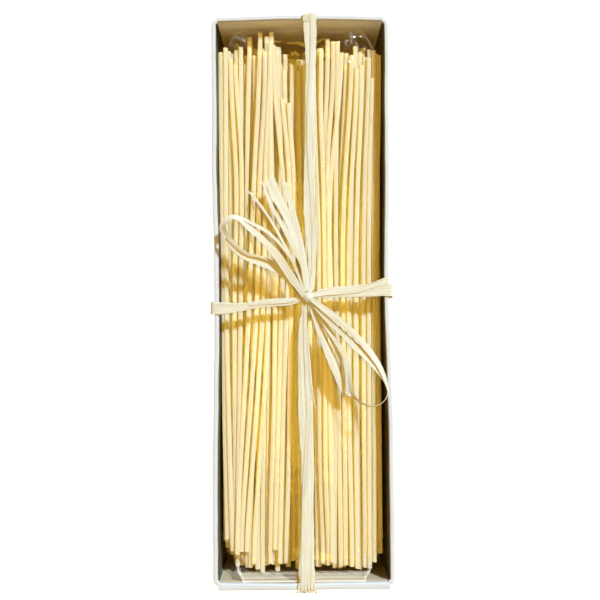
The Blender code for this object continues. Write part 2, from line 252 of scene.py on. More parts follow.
def flat_strip_caps(rings, points, first=0):
    """Faces that close the two ends of a strip whose sections' second half lies under the first."""
    i = np.arange(points // 2 - 1)
    start = np.column_stack([i, points - 1 - i, points - 2 - i, i + 1])
    end = start[:, ::-1] + (rings - 1) * points
    return np.vstack([start, end]) + first


def add_piece(name, points, faces, materials, node, sharp, indices=None, values=None,
              uvs=None):
    """Puts arrays in millimetres into a mesh that rides on the pack and stands for a CAD node.

    Edges that turn by more than the angle sharp stay sharp, indices are the faces' materials, and
    values and uvs are kept at each point.
    """
    mesh = bpy.data.meshes.new(name)
    faces = [face for group in faces for face in np.asarray(group).tolist()]
    mesh.from_pydata((np.asarray(points).reshape(-1, 3) * MM).tolist(), [], faces)
    mesh.update()
    for material in materials:
        mesh.materials.append(material)
    if indices is not None:
        mesh.polygons.foreach_set("material_index", np.asarray(indices, dtype=np.int32))
    for label, value in (values or {}).items():
        layer = mesh.attributes.new(label, 'FLOAT', 'POINT')
        layer.data.foreach_set("value", np.asarray(value, dtype=np.float32).ravel())
    if uvs is not None:
        corner = np.empty(len(mesh.loops), dtype=np.int32)
        mesh.loops.foreach_get("vertex_index", corner)
        layer = mesh.uv_layers.new(name="along")
        layer.data.foreach_set("uv", np.asarray(uvs, float).reshape(-1, 2)[corner].ravel())
    mesh.shade_smooth()
    mesh.set_sharp_from_angle(angle=math.radians(sharp))
    made = bpy.data.objects.new(name, mesh)
    bpy.context.scene.collection.objects.link(made)
    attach(made, "root")
    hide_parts(node)


# ---------------------------------------------------------------- materials

class Nodes:
    """Short ways to add and link the nodes of one material."""

    def __init__(self, name, roughness, specular=0.5):
        """Starts a material with this roughness and specular level."""
        self.material = bpy.data.materials.new(name)
        self.material.use_nodes = True
        self.tree = self.material.node_tree
        self.shader = self.tree.nodes["Principled BSDF"]
        self.put(self.shader, {"Roughness": roughness, "Specular IOR Level": specular})

    def put(self, node, sockets):
        """Gives input sockets their values: a number, a colour or vector, or a link."""
        for name, value in sockets.items():
            socket = node.inputs[name]
            if isinstance(value, bpy.types.NodeSocket):
                self.tree.links.new(value, socket)
            elif isinstance(value, (float, int)):
                socket.default_value = value
            else:
                socket.default_value = (*value, 1.0)[:len(socket.default_value)]

    def add(self, kind, sockets, **values):
        """Adds a node with these input sockets and these values of its own."""
        node = self.tree.nodes.new(kind)
        for name, value in values.items():
            setattr(node, name, value)
        self.put(node, sockets)
        return node

    def place(self, scale=(1, 1, 1), source="Object"):
        """Object coordinates, or the piece's own UV map, stretched by the scale."""
        at = self.add("ShaderNodeTexCoord", {}).outputs[source]
        return self.add("ShaderNodeMapping", {"Vector": at, "Scale": scale}).outputs["Vector"]

    def noise(self, where, scale, detail=3.0, roughness=0.55):
        """A cloudy pattern from 0 to 1."""
        return self.add("ShaderNodeTexNoise", {"Vector": where, "Scale": scale, "Detail": detail,
                                               "Roughness": roughness}).outputs["Fac"]

    def attribute(self, name):
        """A value kept at each point of the piece."""
        return self.add("ShaderNodeAttribute", {}, attribute_name=name).outputs["Fac"]

    def spread(self, value, low, high, to_low=0.0, to_high=1.0):
        """The value's stretch from low to high, moved to another stretch."""
        return self.add("ShaderNodeMapRange", {"Value": value, "From Min": low, "From Max": high,
                                               "To Min": to_low, "To Max": to_high}).outputs[0]

    def mix(self, share, first, second, blend='MIX'):
        """The first colour with this share of the second."""
        return self.add("ShaderNodeMix", {0: share, 6: first, 7: second}, data_type='RGBA',
                        blend_type=blend).outputs[2]

    def math(self, operation, first, second):
        """The two values added, multiplied, or put to a power."""
        return self.add("ShaderNodeMath", {0: first, 1: second}, operation=operation).outputs[0]

    def bump(self, height, strength, distance):
        """Normals of a surface with this height pattern."""
        return self.add("ShaderNodeBump", {"Height": height, "Strength": strength,
                                           "Distance": distance}).outputs["Normal"]

    def blend(self, share, first, second):
        """The first shader with this share of the second."""
        return self.add("ShaderNodeMixShader", {"Fac": share, 1: first.outputs[0],
                                                2: second.outputs[0]})

    def soak(self, colour, share):
        """Lets light of this colour soak through, as a share of what the surface does."""
        through = self.add("ShaderNodeBsdfTranslucent", {"Color": colour})
        self.show(self.blend(share, self.shader, through))

    def show(self, shader):
        """Makes this shader the one that shows."""
        self.put(self.tree.nodes["Material Output"], {"Surface": shader.outputs[0]})


def darker(colour, share):
    """The colour times the share."""
    return tuple(share * part for part in colour)


def card_finish(name, colour, shade, fleck):
    """Folded card: a flat colour with a faint cloudiness, fine fibres and a dull surface.

    shade is how dark the clouds and fibres are, as a share of the colour, and fleck how much the
    fibres show.
    """
    made = Nodes(name, roughness=0.62, specular=0.3)
    pale, dark = tuple(colour), darker(colour, shade)
    cloud = made.noise(made.place(), 60.0, 4.0)
    fibre = made.noise(made.place((1.0, 0.35, 1.0)), 900.0)
    paint = made.mix(made.spread(cloud, 0.35, 0.7), pale, dark)
    paint = made.mix(made.spread(fibre, 0.58, 0.75, 0.0, fleck), paint, dark, 'MULTIPLY')
    made.put(made.shader, {"Base Color": paint, "Normal": made.bump(fibre, 0.25, 0.00012)})
    return made.material


def pasta_finish(settings):
    """Dry durum pasta: floury cream on a golden body that light soaks through.

    The bloom attribute is each strand's share of flour, and the tint attribute moves its colour a
    little between pale and golden. The sides of a strand, away from its top, are painted the golden
    side colour as painted shade. Light that passes through a strand comes out golden, and the
    surface is shaded as if it faced halfway up, as light spreads out inside a strand.
    """
    made = Nodes("dry_pasta", roughness=0.5, specular=0.35)
    streak = made.noise(made.place((1.0, 0.16, 1.0)), 900.0, 4.0)
    grain = made.noise(made.place(), 2600.0, 3.0, 0.6)
    patch = made.noise(made.place((1.0, 0.3, 1.0)), 110.0)
    paint = made.mix(made.attribute("tint"), settings.pasta_pale, settings.pasta_gold)
    flour = made.math('MULTIPLY', made.spread(patch, 0.3, 0.7, 0.25), made.attribute("bloom"))
    flour = made.math('MULTIPLY', flour, made.spread(grain, 0.3, 0.7, 0.55))
    paint = made.mix(flour, paint, settings.pasta_flour)
    paint = made.mix(made.spread(streak, 0.5, 0.8, 0.0, 0.15), paint, settings.pasta_gold)
    # Painted shade: the sides of a strand, away from its top, get the golden side colour
    facing = made.add("ShaderNodeNewGeometry", {}).outputs["Normal"]
    upright = made.add("ShaderNodeSeparateXYZ", {0: facing}).outputs["Z"]
    paint = made.mix(made.spread(upright, 0.1, 0.6), settings.pasta_side_shade, paint)
    raised = made.add("ShaderNodeVectorMath", {0: facing, 1: (0.0, 0.0, 1.6)}, operation='ADD')
    raised = made.add("ShaderNodeVectorMath", {0: raised.outputs[0]}, operation='NORMALIZE')
    made.put(made.shader, {"Base Color": paint, "Normal": raised.outputs[0]})
    made.soak(settings.pasta_through, 0.63)
    return made.material


def raffia_finish(settings):
    """Raffia: fine fibres along the strip, pale cream with dark and golden threads, and dull."""
    made = Nodes("raffia_strip", roughness=0.55, specular=0.4)
    thin = made.place((1.0, 0.02, 1.0), "UV")
    fibres = made.noise(made.place((1.0, 0.035, 1.0), "UV"), 2.4, 5.0, 0.65)
    threads = made.noise(thin, 6.0, 3.0, 0.7)
    broad = made.noise(thin, 1.0, 2.0, 0.5)
    cloud = made.noise(made.place(), 80.0)
    paint = made.mix(made.spread(fibres, 0.28, 0.52), settings.raffia_shade, settings.raffia_pale)
    paint = made.mix(made.spread(broad, 0.54, 0.66, 0.0, 0.7), paint, settings.raffia_shade)
    paint = made.mix(made.spread(cloud, 0.45, 0.75, 0.0, 0.5), paint, settings.raffia_gold)
    paint = made.mix(made.spread(threads, 0.58, 0.75, 0.0, 0.4), paint, settings.raffia_gold,
                     'MULTIPLY')
    made.put(made.shader, {"Base Color": paint, "Normal": made.bump(fibres, 0.6, 0.00016)})
    made.soak(settings.raffia_through, 0.35)
    return made.material


def film_finish(settings):
    """Clear film: see-through face on, mirror-like at a slant, and whitish where it is crimped.

    The haze attribute is 1 on a crimped seal and 0 on clear film. Along the puckers' fold
    lines and the slanted edges it also carries painted highlights in place of glints. The mirror's
    share is 0.02 + 0.06 * slant^4.
    """
    made = Nodes("clear_film", roughness=0.3)
    normal = made.bump(made.noise(made.place((1.0, 0.5, 1.0)), 160.0), 0.5, 0.0006)
    made.put(made.shader, {"Base Color": (0.92, 0.89, 0.82), "Normal": normal})
    clear = made.add("ShaderNodeBsdfTransparent", {})
    gloss = made.add("ShaderNodeBsdfGlossy", {"Color": WHITE, "Roughness": 0.06, "Normal": normal})
    slant = made.add("ShaderNodeLayerWeight", {"Blend": 0.5, "Normal": normal}).outputs["Facing"]
    mirror = made.math('MULTIPLY', made.math('POWER', slant, 4.0), 0.06)
    sheet = made.blend(made.math('ADD', mirror, 0.02), clear, gloss)
    # Whitish crimped seal, and painted highlights along the fold lines and slanted edges
    haze = made.math('MULTIPLY', made.attribute("haze"), settings.haze_and_glint_strength)
    made.show(made.blend(haze, sheet, made.shader))
    return made.material


def floor_finish(settings):
    """A plain pale floor that glows a little, so that no shadow shows on it."""
    made = Nodes("studio_floor", roughness=0.8, specular=0.0)
    made.put(made.shader, {"Base Color": (0.25, 0.25, 0.25), "Emission Color": WHITE,
                           "Emission Strength": settings.floor_glow})
    return made.material


# ---------------------------------------------------------------- tray

def pinch_at(y):
    """How far the tie has drawn a side wall's rim in, at a place along the tray: a bell curve."""
    return PINCH * np.exp(-(y / PINCH_SPAN) ** 2)


def wall_profile(thickness, flap_foot, lip):
    """A wall's upright outline as (outward distance, height) rows, and its faces' finishes.

    It runs up the inner skin, over the rolled rim and down the outer skin to a small rounded fold
    at its foot. The rim is half a circle whose sine and cosine are raised to RIM_SQUARENESS. The
    flap turned in over the inner skin reaches down to flap_foot and stands out by the lip.
    """
    half = thickness / 2
    edge = flap_foot + FLAP_EDGE
    inner = [(-half, h) for h in np.linspace(COAT_FOOT, flap_foot - 0.05, WALL_ROWS)]
    flap = [(-half - lip * 0.6, flap_foot), (-half - lip, edge)]
    flap += [(-half - lip * (1 - t ** 2), edge + (RIM_HEIGHT - half - edge) * t)
             for t in np.linspace(0.2, 0.95, 5)]
    turn = np.linspace(math.pi, 0, 19)
    flat = np.column_stack([np.cos(turn), np.sin(turn)])
    flat = np.sign(flat) * np.abs(flat) ** RIM_SQUARENESS
    roll = half * flat + [0, RIM_HEIGHT - half]
    outer = [(half, h) for h in np.linspace(RIM_HEIGHT - half - 1.5, TRAY_UNDERSIDE + 1.4,
                                            WALL_ROWS)]
    fold = np.linspace(0, math.pi / 2, 6)
    foot = np.column_stack([half - FOOT_RADIUS + FOOT_RADIUS * np.cos(fold),
                            WALL_FOOT + FOOT_RADIUS * (1 - np.sin(fold))])
    rows = np.vstack([inner, flap, roll, outer, foot, [(-half, WALL_FOOT)]])
    finishes = np.full(len(rows), COAT)
    finishes[:len(inner) + len(flap)] = FLAP
    finishes[:len(inner) + 1] = BROWN
    return rows, finishes


def carry_profile(profile, places, outwards, wobble):
    """A profile carried along a path: place + outward * distance, at the profile's height.

    places is the wall's outer line on the ground and outwards its unit directions. wobble is a
    small sideways wave of each station, which grows with height.
    """
    distance, height = profile[:, 0], profile[:, 1]
    shift = (distance - distance.max())[None, :, None] * outwards[:, None, :]
    sway = (wobble[:, None] * height / RIM_HEIGHT)[..., None] * outwards[:, None, :]
    points = places[:, None, :] + shift + sway
    points[..., 2] = height
    return points


def side_wall(side):
    """A double side wall whose ends curl in: side is 1 for the right one and -1 for the left."""
    straight = TRAY_HALF_LENGTH - SIDE_WALL_INSET - CURL_RADIUS * math.sin(CURL_ANGLE)
    y = np.linspace(-straight, straight, WALL_STATIONS)
    turn = np.linspace(0, CURL_ANGLE, 10)[1:]
    curl_x = TRAY_HALF_WIDTH - CURL_RADIUS * (1 - np.cos(turn))
    curl_y = straight + CURL_RADIUS * np.sin(turn)
    x = np.concatenate([curl_x[::-1], np.full(len(y), TRAY_HALF_WIDTH), curl_x])
    angle = np.concatenate([-turn[::-1], np.zeros(len(y)), turn])
    y = np.concatenate([-curl_y[::-1], y, curl_y])
    places = np.column_stack([x, y, np.zeros(len(x))])
    outwards = np.column_stack([np.cos(angle), np.sin(angle), np.zeros(len(x))])
    profile, finishes = wall_profile(SIDE_THICK, SIDE_FLAP_FOOT, SIDE_LIP)
    finishes[finishes == FLAP] = BROWN
    wobble = waves(y, (0.22, 5 + side, 31.0), (0.10, 8 + side, 9.0))
    wobble[[0, -1]] = 0
    points = carry_profile(profile, places, outwards, wobble)
    points[..., 0] -= pinch_at(points[..., 1]) * points[..., 2] / RIM_HEIGHT
    points[..., 2] += waves(y, (0.12, 21 + side, 14.0))[:, None] * (profile[:, 1] > RIM_WAVE_FOOT)
    if side < 0:
        points[..., 0] *= -1
        points = points[:, ::-1]
        finishes = np.roll(finishes[::-1], -1)
    return points, finishes


def end_wall(end):
    """A double end wall: end is 1 for the far one and -1 for the near one, whose ends swell.

    The bow and the swelling grow with the square of the share of the half width.
    """
    far = end > 0
    share = np.linspace(-1, 1, 49)
    x = (TRAY_HALF_WIDTH - END_WALL_INSET) * share
    outer = TRAY_HALF_LENGTH - (FAR_BOW * share ** 2 if far else 0 * share)
    places = np.column_stack([x, end * outer, np.zeros(len(x))])
    outwards = np.tile([0.0, float(end), 0.0], (len(x), 1))
    if far:
        profile, finishes = wall_profile(FAR_THICK, FAR_FLAP_FOOT, END_LIP)
    else:
        profile, finishes = wall_profile(NEAR_THICK, NEAR_FLAP_FOOT, END_LIP)
    wobble = waves(x, (0.2, 15 + end, 17.0), (0.08, 18 + end, 5.0)) - END_WALL_SETBACK
    points = carry_profile(profile, places, outwards, wobble)
    if not far:
        points[..., 1] += (profile[:, 0] < 0)[None, :] * NEAR_SWELL * (share ** 2)[:, None]
    points[..., 2] += waves(x, (0.10, 31 + end, 8.0))[:, None] * (profile[:, 1] > RIM_WAVE_FOOT)
    if far:
        points = points[:, ::-1]
        finishes = np.roll(finishes[::-1], -1)
    return points, finishes


def tray_floor_points():
    """The floor as a closed strip of sections across the tray, narrowing at its bevelled corners.

    The top sags by a smooth wave along the tray times 1 - share^2 across it.
    """
    half_length = TRAY_HALF_LENGTH - FLOOR_FOLD - FAR_BOW
    half_width = TRAY_HALF_WIDTH - FLOOR_FOLD
    y = np.concatenate([[-half_length, -half_length + END_WALL_INSET],
                        np.linspace(-half_length + 8, half_length - 8, 20),
                        [half_length - END_WALL_INSET, half_length]])
    reach = np.where(abs(y) > half_length - 0.01, half_width - END_WALL_INSET, half_width)
    share = np.linspace(-1, 1, 9)
    sag = waves(y, (0.12, 44, 40.0))
    top = np.stack([reach[:, None] * share, np.broadcast_to(y[:, None], (len(y), len(share))),
                    FLOOR_TOP + sag[:, None] * (1 - share ** 2)], axis=-1)
    under = top[:, ::-1].copy()
    under[..., 2] = FLOOR_UNDERSIDE
    return np.concatenate([top, under], axis=1)


def make_tray(coat, brown, sides, far_board_painted_light, flap):
    """The four walls and the floor. The far wall's inside board and flap are painted pale as
    painted light, and the side walls' insides dark as painted shade.
    """
    pieces = [("tray_wall_right", side_wall(1), sides, sides),
              ("tray_wall_left", side_wall(-1), sides, sides),
              ("tray_wall_far", end_wall(1), far_board_painted_light, flap),
              ("tray_wall_near", end_wall(-1), brown, brown)]
    for name, (points, finishes), inside, turned in pieces:
        rings, around = points.shape[:2]
        caps = [np.arange(around)[::-1], np.arange(around) + (rings - 1) * around]
        indices = np.concatenate([np.tile(finishes, rings - 1), [COAT, COAT]])
        add_piece(name, points, [ring_faces(rings, around), caps], [coat, inside, turned],
                  "tray", 40, indices)
    points = tray_floor_points()
    rings, around = points.shape[:2]
    caps = flat_strip_caps(rings, around)
    upper = np.arange(around) < around // 2 - 1
    indices = np.concatenate([np.tile(upper, rings - 1), np.zeros(len(caps), bool)])
    add_piece("tray_floor", points, [ring_faces(rings, around), caps], [coat, brown],
              "tray", 40, indices)


# ---------------------------------------------------------------- spaghetti

# The strands that show, from the lowest up. A row is (far end, near end, [(y, x), ...]) in
# millimetres, and a strand lies on the ones before it.
LOWER_STRANDS = [
    (128, -124, [(120, -40.4), (0, -39.6), (-120, -39.2)]),
    (130, -125, [(120, -37.4), (60, -36.4), (0, -37.0), (-60, -36.3), (-120, -36.4)]),
    (131, -127, [(130, -33.4), (60, -33.9), (0, -34.2), (-60, -33.7), (-120, -34.0)]),
    (132, -128, [(130, -30.9), (100, -30.8), (60, -31.3), (-60, -31.2), (-120, -31.4)]),
    (137, -136.9, [(137, -26.1), (120, -26.7), (90, -27.6), (50, -28.3), (0, -28.7), (-60, -28.7),
     (-120, -28.8)]),
    (127, -136.3, [(127, -23.8), (90, -23.4), (60, -24.6), (0, -25.8), (-60, -25.8), (-100, -26.4),
     (-138, -27.2)]),
    (129, -137.7, [(120, -21.0), (60, -21.9), (0, -22.4), (-60, -22.7), (-120, -23.6)]),
    (130, -139.1, [(120, -18.9), (60, -19.4), (0, -19.6), (-60, -19.9), (-120, -21.1)]),
    (136, -135.5, [(136, -17.2), (60, -16.8), (0, -16.9), (-60, -17.4), (-120, -18.5)]),
    (138, -135.5, [(138, -14.6), (100, -15.4), (60, -14.7), (0, -14.3), (-60, -14.8),
     (-120, -15.9)]),
    (132, -138.5, [(132, -11.2), (100, -9.9), (75, -9.7), (60, -10.3), (0, -11.6), (-60, -12.3),
     (-120, -13.4)]),
    (119, -135.5, [(119, -8.3), (90, -7.6), (60, -7.7), (0, -9.0), (-60, -9.6), (-120, -10.8)]),
    (122, -136.9, [(121, -4.1), (90, -4.7), (60, -4.9), (0, -6.3), (-60, -6.9), (-120, -8.0)]),
    (119, -138.5, [(119, -1.0), (60, -0.8), (0, -1.4), (-60, -1.0), (-120, -1.8)]),
    (122, -135.5, [(120, 1.7), (60, 2.0), (0, 1.3), (-60, 1.6), (-120, 0.9)]),
    (126, -138.5, [(120, 4.4), (60, 4.6), (0, 4.0), (-60, 4.2), (-120, 3.6)]),
    (127, -136.3, [(120, 7.0), (60, 7.2), (0, 6.8), (-60, 6.9), (-120, 7.0)]),
    (131, -135.5, [(120, 9.8), (60, 9.8), (0, 9.6), (-60, 9.7), (-120, 10.6)]),
    (135, -135.5, [(135, 14.6), (120, 14.4), (108, 13.9), (90, 12.6), (60, 12.5), (0, 12.4),
     (-120, 13.2)]),
    (133, -137.7, [(133, 17.3), (120, 17.0), (90, 15.6), (60, 15.3), (0, 15.2), (-60, 15.0),
     (-120, 15.8)]),
    (132, -137.7, [(130, 19.8), (60, 17.9), (0, 17.8), (-60, 17.6), (-120, 18.4)]),
    (128, -135.5, [(128, 24.5), (100, 23.0), (80, 21.8), (60, 20.6), (0, 20.4), (-60, 20.3),
     (-120, 21.0)]),
    (126, -136.3, [(120, 26.6), (90, 24.9), (60, 23.4), (0, 23.0), (-60, 22.9), (-120, 23.5)]),
    (131, -135.5, [(120, 28.9), (90, 27.6), (60, 26.1), (0, 25.6), (-60, 25.6), (-120, 26.0)]),
    (129, -138.5, [(120, 31.4), (90, 30.1), (60, 28.8), (0, 28.2), (-60, 28.2), (-120, 28.7)]),
    (126, -134, [(120, 33.9), (90, 32.7), (60, 31.5), (0, 30.8), (-60, 30.9), (-120, 31.2)]),
    (130, -131, [(120, 36.4), (90, 35.3), (60, 34.1), (0, 33.4), (-60, 33.5), (-120, 33.8)]),
    (128, -132, [(120, 38.9), (90, 37.9), (60, 36.7), (0, 36.0), (-60, 36.1), (-120, 36.5)]),
    (127, -131, [(120, 41.2), (90, 40.6), (60, 39.7), (0, 38.8), (-60, 39.0), (-120, 39.3)]),
]
UPPER_STRANDS = [
    (129, -122, [(120, -41.4), (60, -41.1), (20, -40.4), (-20, -40.2), (-60, -40.1),
     (-122, -38.9)]),
    (125, -125, [(120, -36.2), (110, -35.8), (90, -34.9), (70, -33.5), (50, -33.2), (5, -34.6),
     (-62, -34.7), (-122, -34.8)]),
    (122, -124, [(118, -33.8), (110, -33.2), (100, -32.3), (90, -31.5), (80, -30.8), (60, -30.5),
     (0, -31.4), (-62, -32.5), (-100, -33.4)]),
    (129, -134, [(112, -15.2), (100, -15.2), (90, -15.8), (60, -15.7), (5, -16.6), (-20, -17.6),
     (-60, -20.2), (-100, -23.4), (-125, -25.3)]),
    (131, -134, [(131, -12.0), (110, -11.8), (90, -10.6), (75, -10.0), (60, -10.6), (30, -12.4),
     (0, -13.5), (-60, -14.8), (-100, -16.4), (-125, -17.0)]),
    (122, -135, [(110, 3.2), (60, 3.0), (0, -0.6), (-20, -1.4), (-60, -1.2), (-130, -1.8)]),
    (135, -129, [(135, 14.6), (108, 14.1), (100, 13.2), (90, 12.6), (60, 13.0), (20, 14.4),
     (-77, 13.9), (-122, 13.2)]),
    (129, -134, [(129, 38.3), (100, 38.6), (60, 37.4), (20, 37.2), (-60, 36.4), (-92, 36.4),
     (-122, 35.8)]),
    (131, -127, [(131, -13.8), (112, -13.6), (102, -12.9), (90, -11.7), (80, -10.8), (70, -9.9),
     (60, -8.9), (40, -7.9), (0, -10.3), (-20, -11.0), (-60, -12.4), (-100, -13.8), (-138, -15.0)]),
    (131, -128, [(120, -38.7), (60, -38.8), (0, -38.7), (-16, -38.7), (-62, -37.7), (-100, -36.9),
     (-122, -36.3)]),
    (128, -128, [(120, -18.2), (100, -18.4), (90, -19.4), (80, -20.2), (60, -21.4), (5, -22.7),
     (-16, -23.8), (-62, -27.2), (-100, -30.2), (-122, -31.7)]),
    (133, -128, [(120, -15.4), (100, -16.6), (90, -17.4), (80, -17.8), (60, -18.4), (5, -19.3),
     (-16, -20.5), (-62, -23.9), (-100, -27.1), (-122, -29.0)]),
    (103, -134, [(105, -10.0), (101, -9.4), (90, -7.9), (80, -7.2), (70, -6.4), (60, -5.9),
     (40, -5.5), (0, -7.6), (-20, -8.5), (-60, -10.1), (-100, -11.2), (-122, -12.1)]),
    (101, -134, [(101, -6.3), (90, -5.4), (80, -4.8), (70, -4.0), (60, -3.3), (40, -3.4),
     (0, -5.2), (-20, -6.0), (-60, -6.8), (-100, -7.8), (-130, -9.2)]),
    (128, -134, [(128, 6.9), (100, 7.2), (80, 7.5), (60, 8.1), (40, 8.8), (20, 8.9), (-20, 8.4),
     (-60, 8.4), (-90, 8.6), (-122, 9.7)]),
    (130, -135, [(130, 11.2), (100, 10.4), (90, 10.4), (80, 10.9), (60, 11.5), (20, 11.8),
     (-60, 11.4), (-92, 11.2), (-122, 12.4)]),
    (133, -135, [(133, 17.4), (110, 17.0), (100, 16.1), (90, 15.1), (80, 14.2), (70, 13.6),
     (60, 13.4), (20, 14.7), (-62, 16.2), (-92, 16.0), (-122, 15.5)]),
    (133, -136, [(133, 19.8), (110, 18.8), (80, 18.4), (60, 18.0), (20, 17.5), (-62, 18.3),
     (-92, 18.4), (-122, 18.7)]),
    (126, -135, [(126, 27.0), (100, 25.6), (80, 24.0), (60, 22.4), (40, 21.5), (20, 20.9),
     (-62, 21.3), (-122, 21.1)]),
    (119, -136, [(119, 29.6), (100, 28.8), (80, 27.3), (60, 25.8), (40, 24.9), (20, 24.2),
     (-62, 23.6), (-122, 24.4)]),
    (121, -137, [(120, 32.1), (100, 31.6), (80, 30.4), (60, 29.3), (40, 28.6), (20, 27.8),
     (-62, 26.9), (-122, 27.1)]),
    (125, -137, [(125, 36.0), (100, 34.9), (80, 33.8), (60, 32.9), (20, 31.8), (-62, 31.3),
     (-122, 31.0)]),
    (114, -137, [(112, 37.6), (100, 36.8), (80, 35.9), (60, 35.2), (20, 34.5), (-62, 33.8),
     (-122, 33.3)]),
    (138, -129, [(137, -20.3), (125, -21.0), (110, -21.4), (95, -22.2), (80, -23.3), (60, -24.3),
     (5, -26.6), (-16, -27.6), (-62, -30.5), (-100, -32.8), (-122, -33.8)]),
    (127, -133, [(127, 21.7), (110, 20.6), (100, 19.8), (90, 18.6), (80, 17.3), (70, 15.9),
     (60, 15.0), (40, 14.4), (20, 14.0), (0, 13.9), (-62, 13.8), (-122, 14.4)]),
]


def strand_line(rows, y):
    """A strand's sideways place at each y: straight lines through its rows, then smoothed.

    Smoothing takes the mean over BENDING_REACH to either side.
    """
    rows = np.array(sorted(rows))
    if rows[0, 0] > y[0]:
        rows = np.vstack([[y[0], rows[0, 1]], rows])
    if rows[-1, 0] < y[-1]:
        rows = np.vstack([rows, [y[-1], rows[-1, 1]]])
    return np.interp(y[:, None] + BENDING_REACH, rows[:, 0], rows[:, 1]).mean(axis=1)


def rest_height(x, ends, y, placed, radius):
    """Height of a stiff strand that lies on the ones placed before it.

    Where it passes another one at a sideways distance d, it is the square root of
    (sum of the radii)^2 - d^2 higher than that one. Along its length it is as high as the highest
    straight line between any two such places on either side, and goes on level past the last.
    """
    needs = np.zeros(len(y))
    for other_x, other_z, other_radius, other_ends in placed:
        apart = (radius + other_radius) ** 2 - (x - other_x) ** 2
        under = (apart > 0) & (y < other_ends[0]) & (y > other_ends[1])
        needs = np.maximum(needs, np.where(under, other_z + np.sqrt(np.maximum(apart, 0)), 0))
    held = np.flatnonzero((needs > 0) & (y < ends[0]) & (y > ends[1]))
    before, after = np.meshgrid(held, held, indexing="ij")
    before, after = before[after > before], after[after > before]
    slope = (needs[after] - needs[before]) / (y[after] - y[before])
    lines = needs[before][:, None] + slope[:, None] * (y[None] - y[before][:, None])
    spans = (y[None] >= y[before][:, None]) & (y[None] <= y[after][:, None])
    envelope = np.where(spans, lines, 0).max(axis=0)
    return np.interp(y, y[held], envelope[held])


def press_down(height, x):
    """The film presses piled strands: what stands over the crown line is cut to about a third."""
    crown = STRAND_CROWN - STRAND_CROWN_DROP * (x / BUNDLE_HALF_WIDTH) ** 2
    return height - np.maximum(height - crown, 0) * PRESSED


def hidden_strand(layer, i, count, radius, chance):
    """One strand of a loose layer that has count of them, a little askew and out of line.

    Its ends stay inside the bag's slanted corners. Its height drops towards the sides with the
    square of the share of the half width, and lifts towards the far end.
    """
    y = STRAND_STATIONS
    pitch = 2 * (BUNDLE_HALF_WIDTH - radius) / LAYER_PLACES
    x = (i - (count - 1) / 2) * pitch + chance.normal(0, HIDDEN_ASIDE)
    line = x + chance.normal(0, HIDDEN_ASKEW) * y / 130
    middle = max(chance.normal(*HIDDEN_MIDDLE), HIDDEN_MIDDLE_LEAST)
    far = middle + HIDDEN_HALF_LENGTH + chance.normal(0, HIDDEN_UNEVEN)
    near = middle - HIDDEN_HALF_LENGTH + chance.normal(0, HIDDEN_UNEVEN)
    corner = BUNDLE_HALF_WIDTH - abs(x)
    ends = (min(far, FAR_CORNER[0] + FAR_CORNER[1] * corner),
            max(near, NEAR_CORNER[0] + NEAR_CORNER[1] * corner))
    drop = EDGE_DROP * (line / BUNDLE_HALF_WIDTH) ** 2 * layer / HIDDEN_LAYERS
    lift = np.clip((y - LIFT_FROM) / LIFT_SPAN, 0, 1) ** LIFT_POWER
    lift = FAR_LIFT * layer / HIDDEN_LAYERS * lift
    return line, FIRST_LAYER_HEIGHT + layer * LAYER_STEP - drop + lift, radius, ends


def make_strands(settings):
    """About 500 whole strands: loose layers, lower strands on them, and upper strands on those.

    Each is (x along y, z along y, radius, (far end, near end)).
    """
    chance = np.random.default_rng(settings.seed)
    radius = settings.strand_diameter / 2 / MM
    strands = []
    for layer in range(HIDDEN_LAYERS):
        count = LAYER_COUNTS[layer % 2]
        strands += [hidden_strand(layer, i, count, radius, chance) for i in range(count)]
    placed = strands[-CARRYING:]
    y = STRAND_STATIONS
    for far, near, rows in LOWER_STRANDS + UPPER_STRANDS:
        line = strand_line(rows, y)
        height = rest_height(line, (far, near), y, placed, radius)
        height = np.pad(height, EASE // 2, mode="edge")
        height = np.convolve(height, np.ones(EASE) / EASE, mode="valid")
        strand = (line, press_down(height, line), radius, (far, near))
        strands.append(strand)
        placed.append(strand)
    return strands


def strand_mesh(strands, sides, rings, chance):
    """Tubes round the strands' lines: place + radius * (cos a, 0, sin a), with flat cut ends.

    The cut is a little aslant, so each end ring leans by a small random slope.
    """
    angle = np.linspace(0, 2 * np.pi, sides, endpoint=False)
    circle = np.column_stack([np.cos(angle), np.zeros(sides), np.sin(angle)])
    groups = []
    for line, height, radius, ends in strands:
        y = np.linspace(ends[1], ends[0], rings)
        centre = np.column_stack([np.interp(y, STRAND_STATIONS, line), y,
                                  np.interp(y, STRAND_STATIONS, height)])
        groups.append(centre[:, None, :] + radius * circle[None])
    points = np.array(groups)
    slope = chance.normal(0, CUT_SLOPE, (len(strands), 2, 2))[..., 0]
    for which, ring in ((0, 0), (1, -1)):
        x = points[:, ring, :, 0]
        points[:, ring, :, 1] += (x - x.mean(1, keepdims=True)) * slope[:, which, None]
    return points


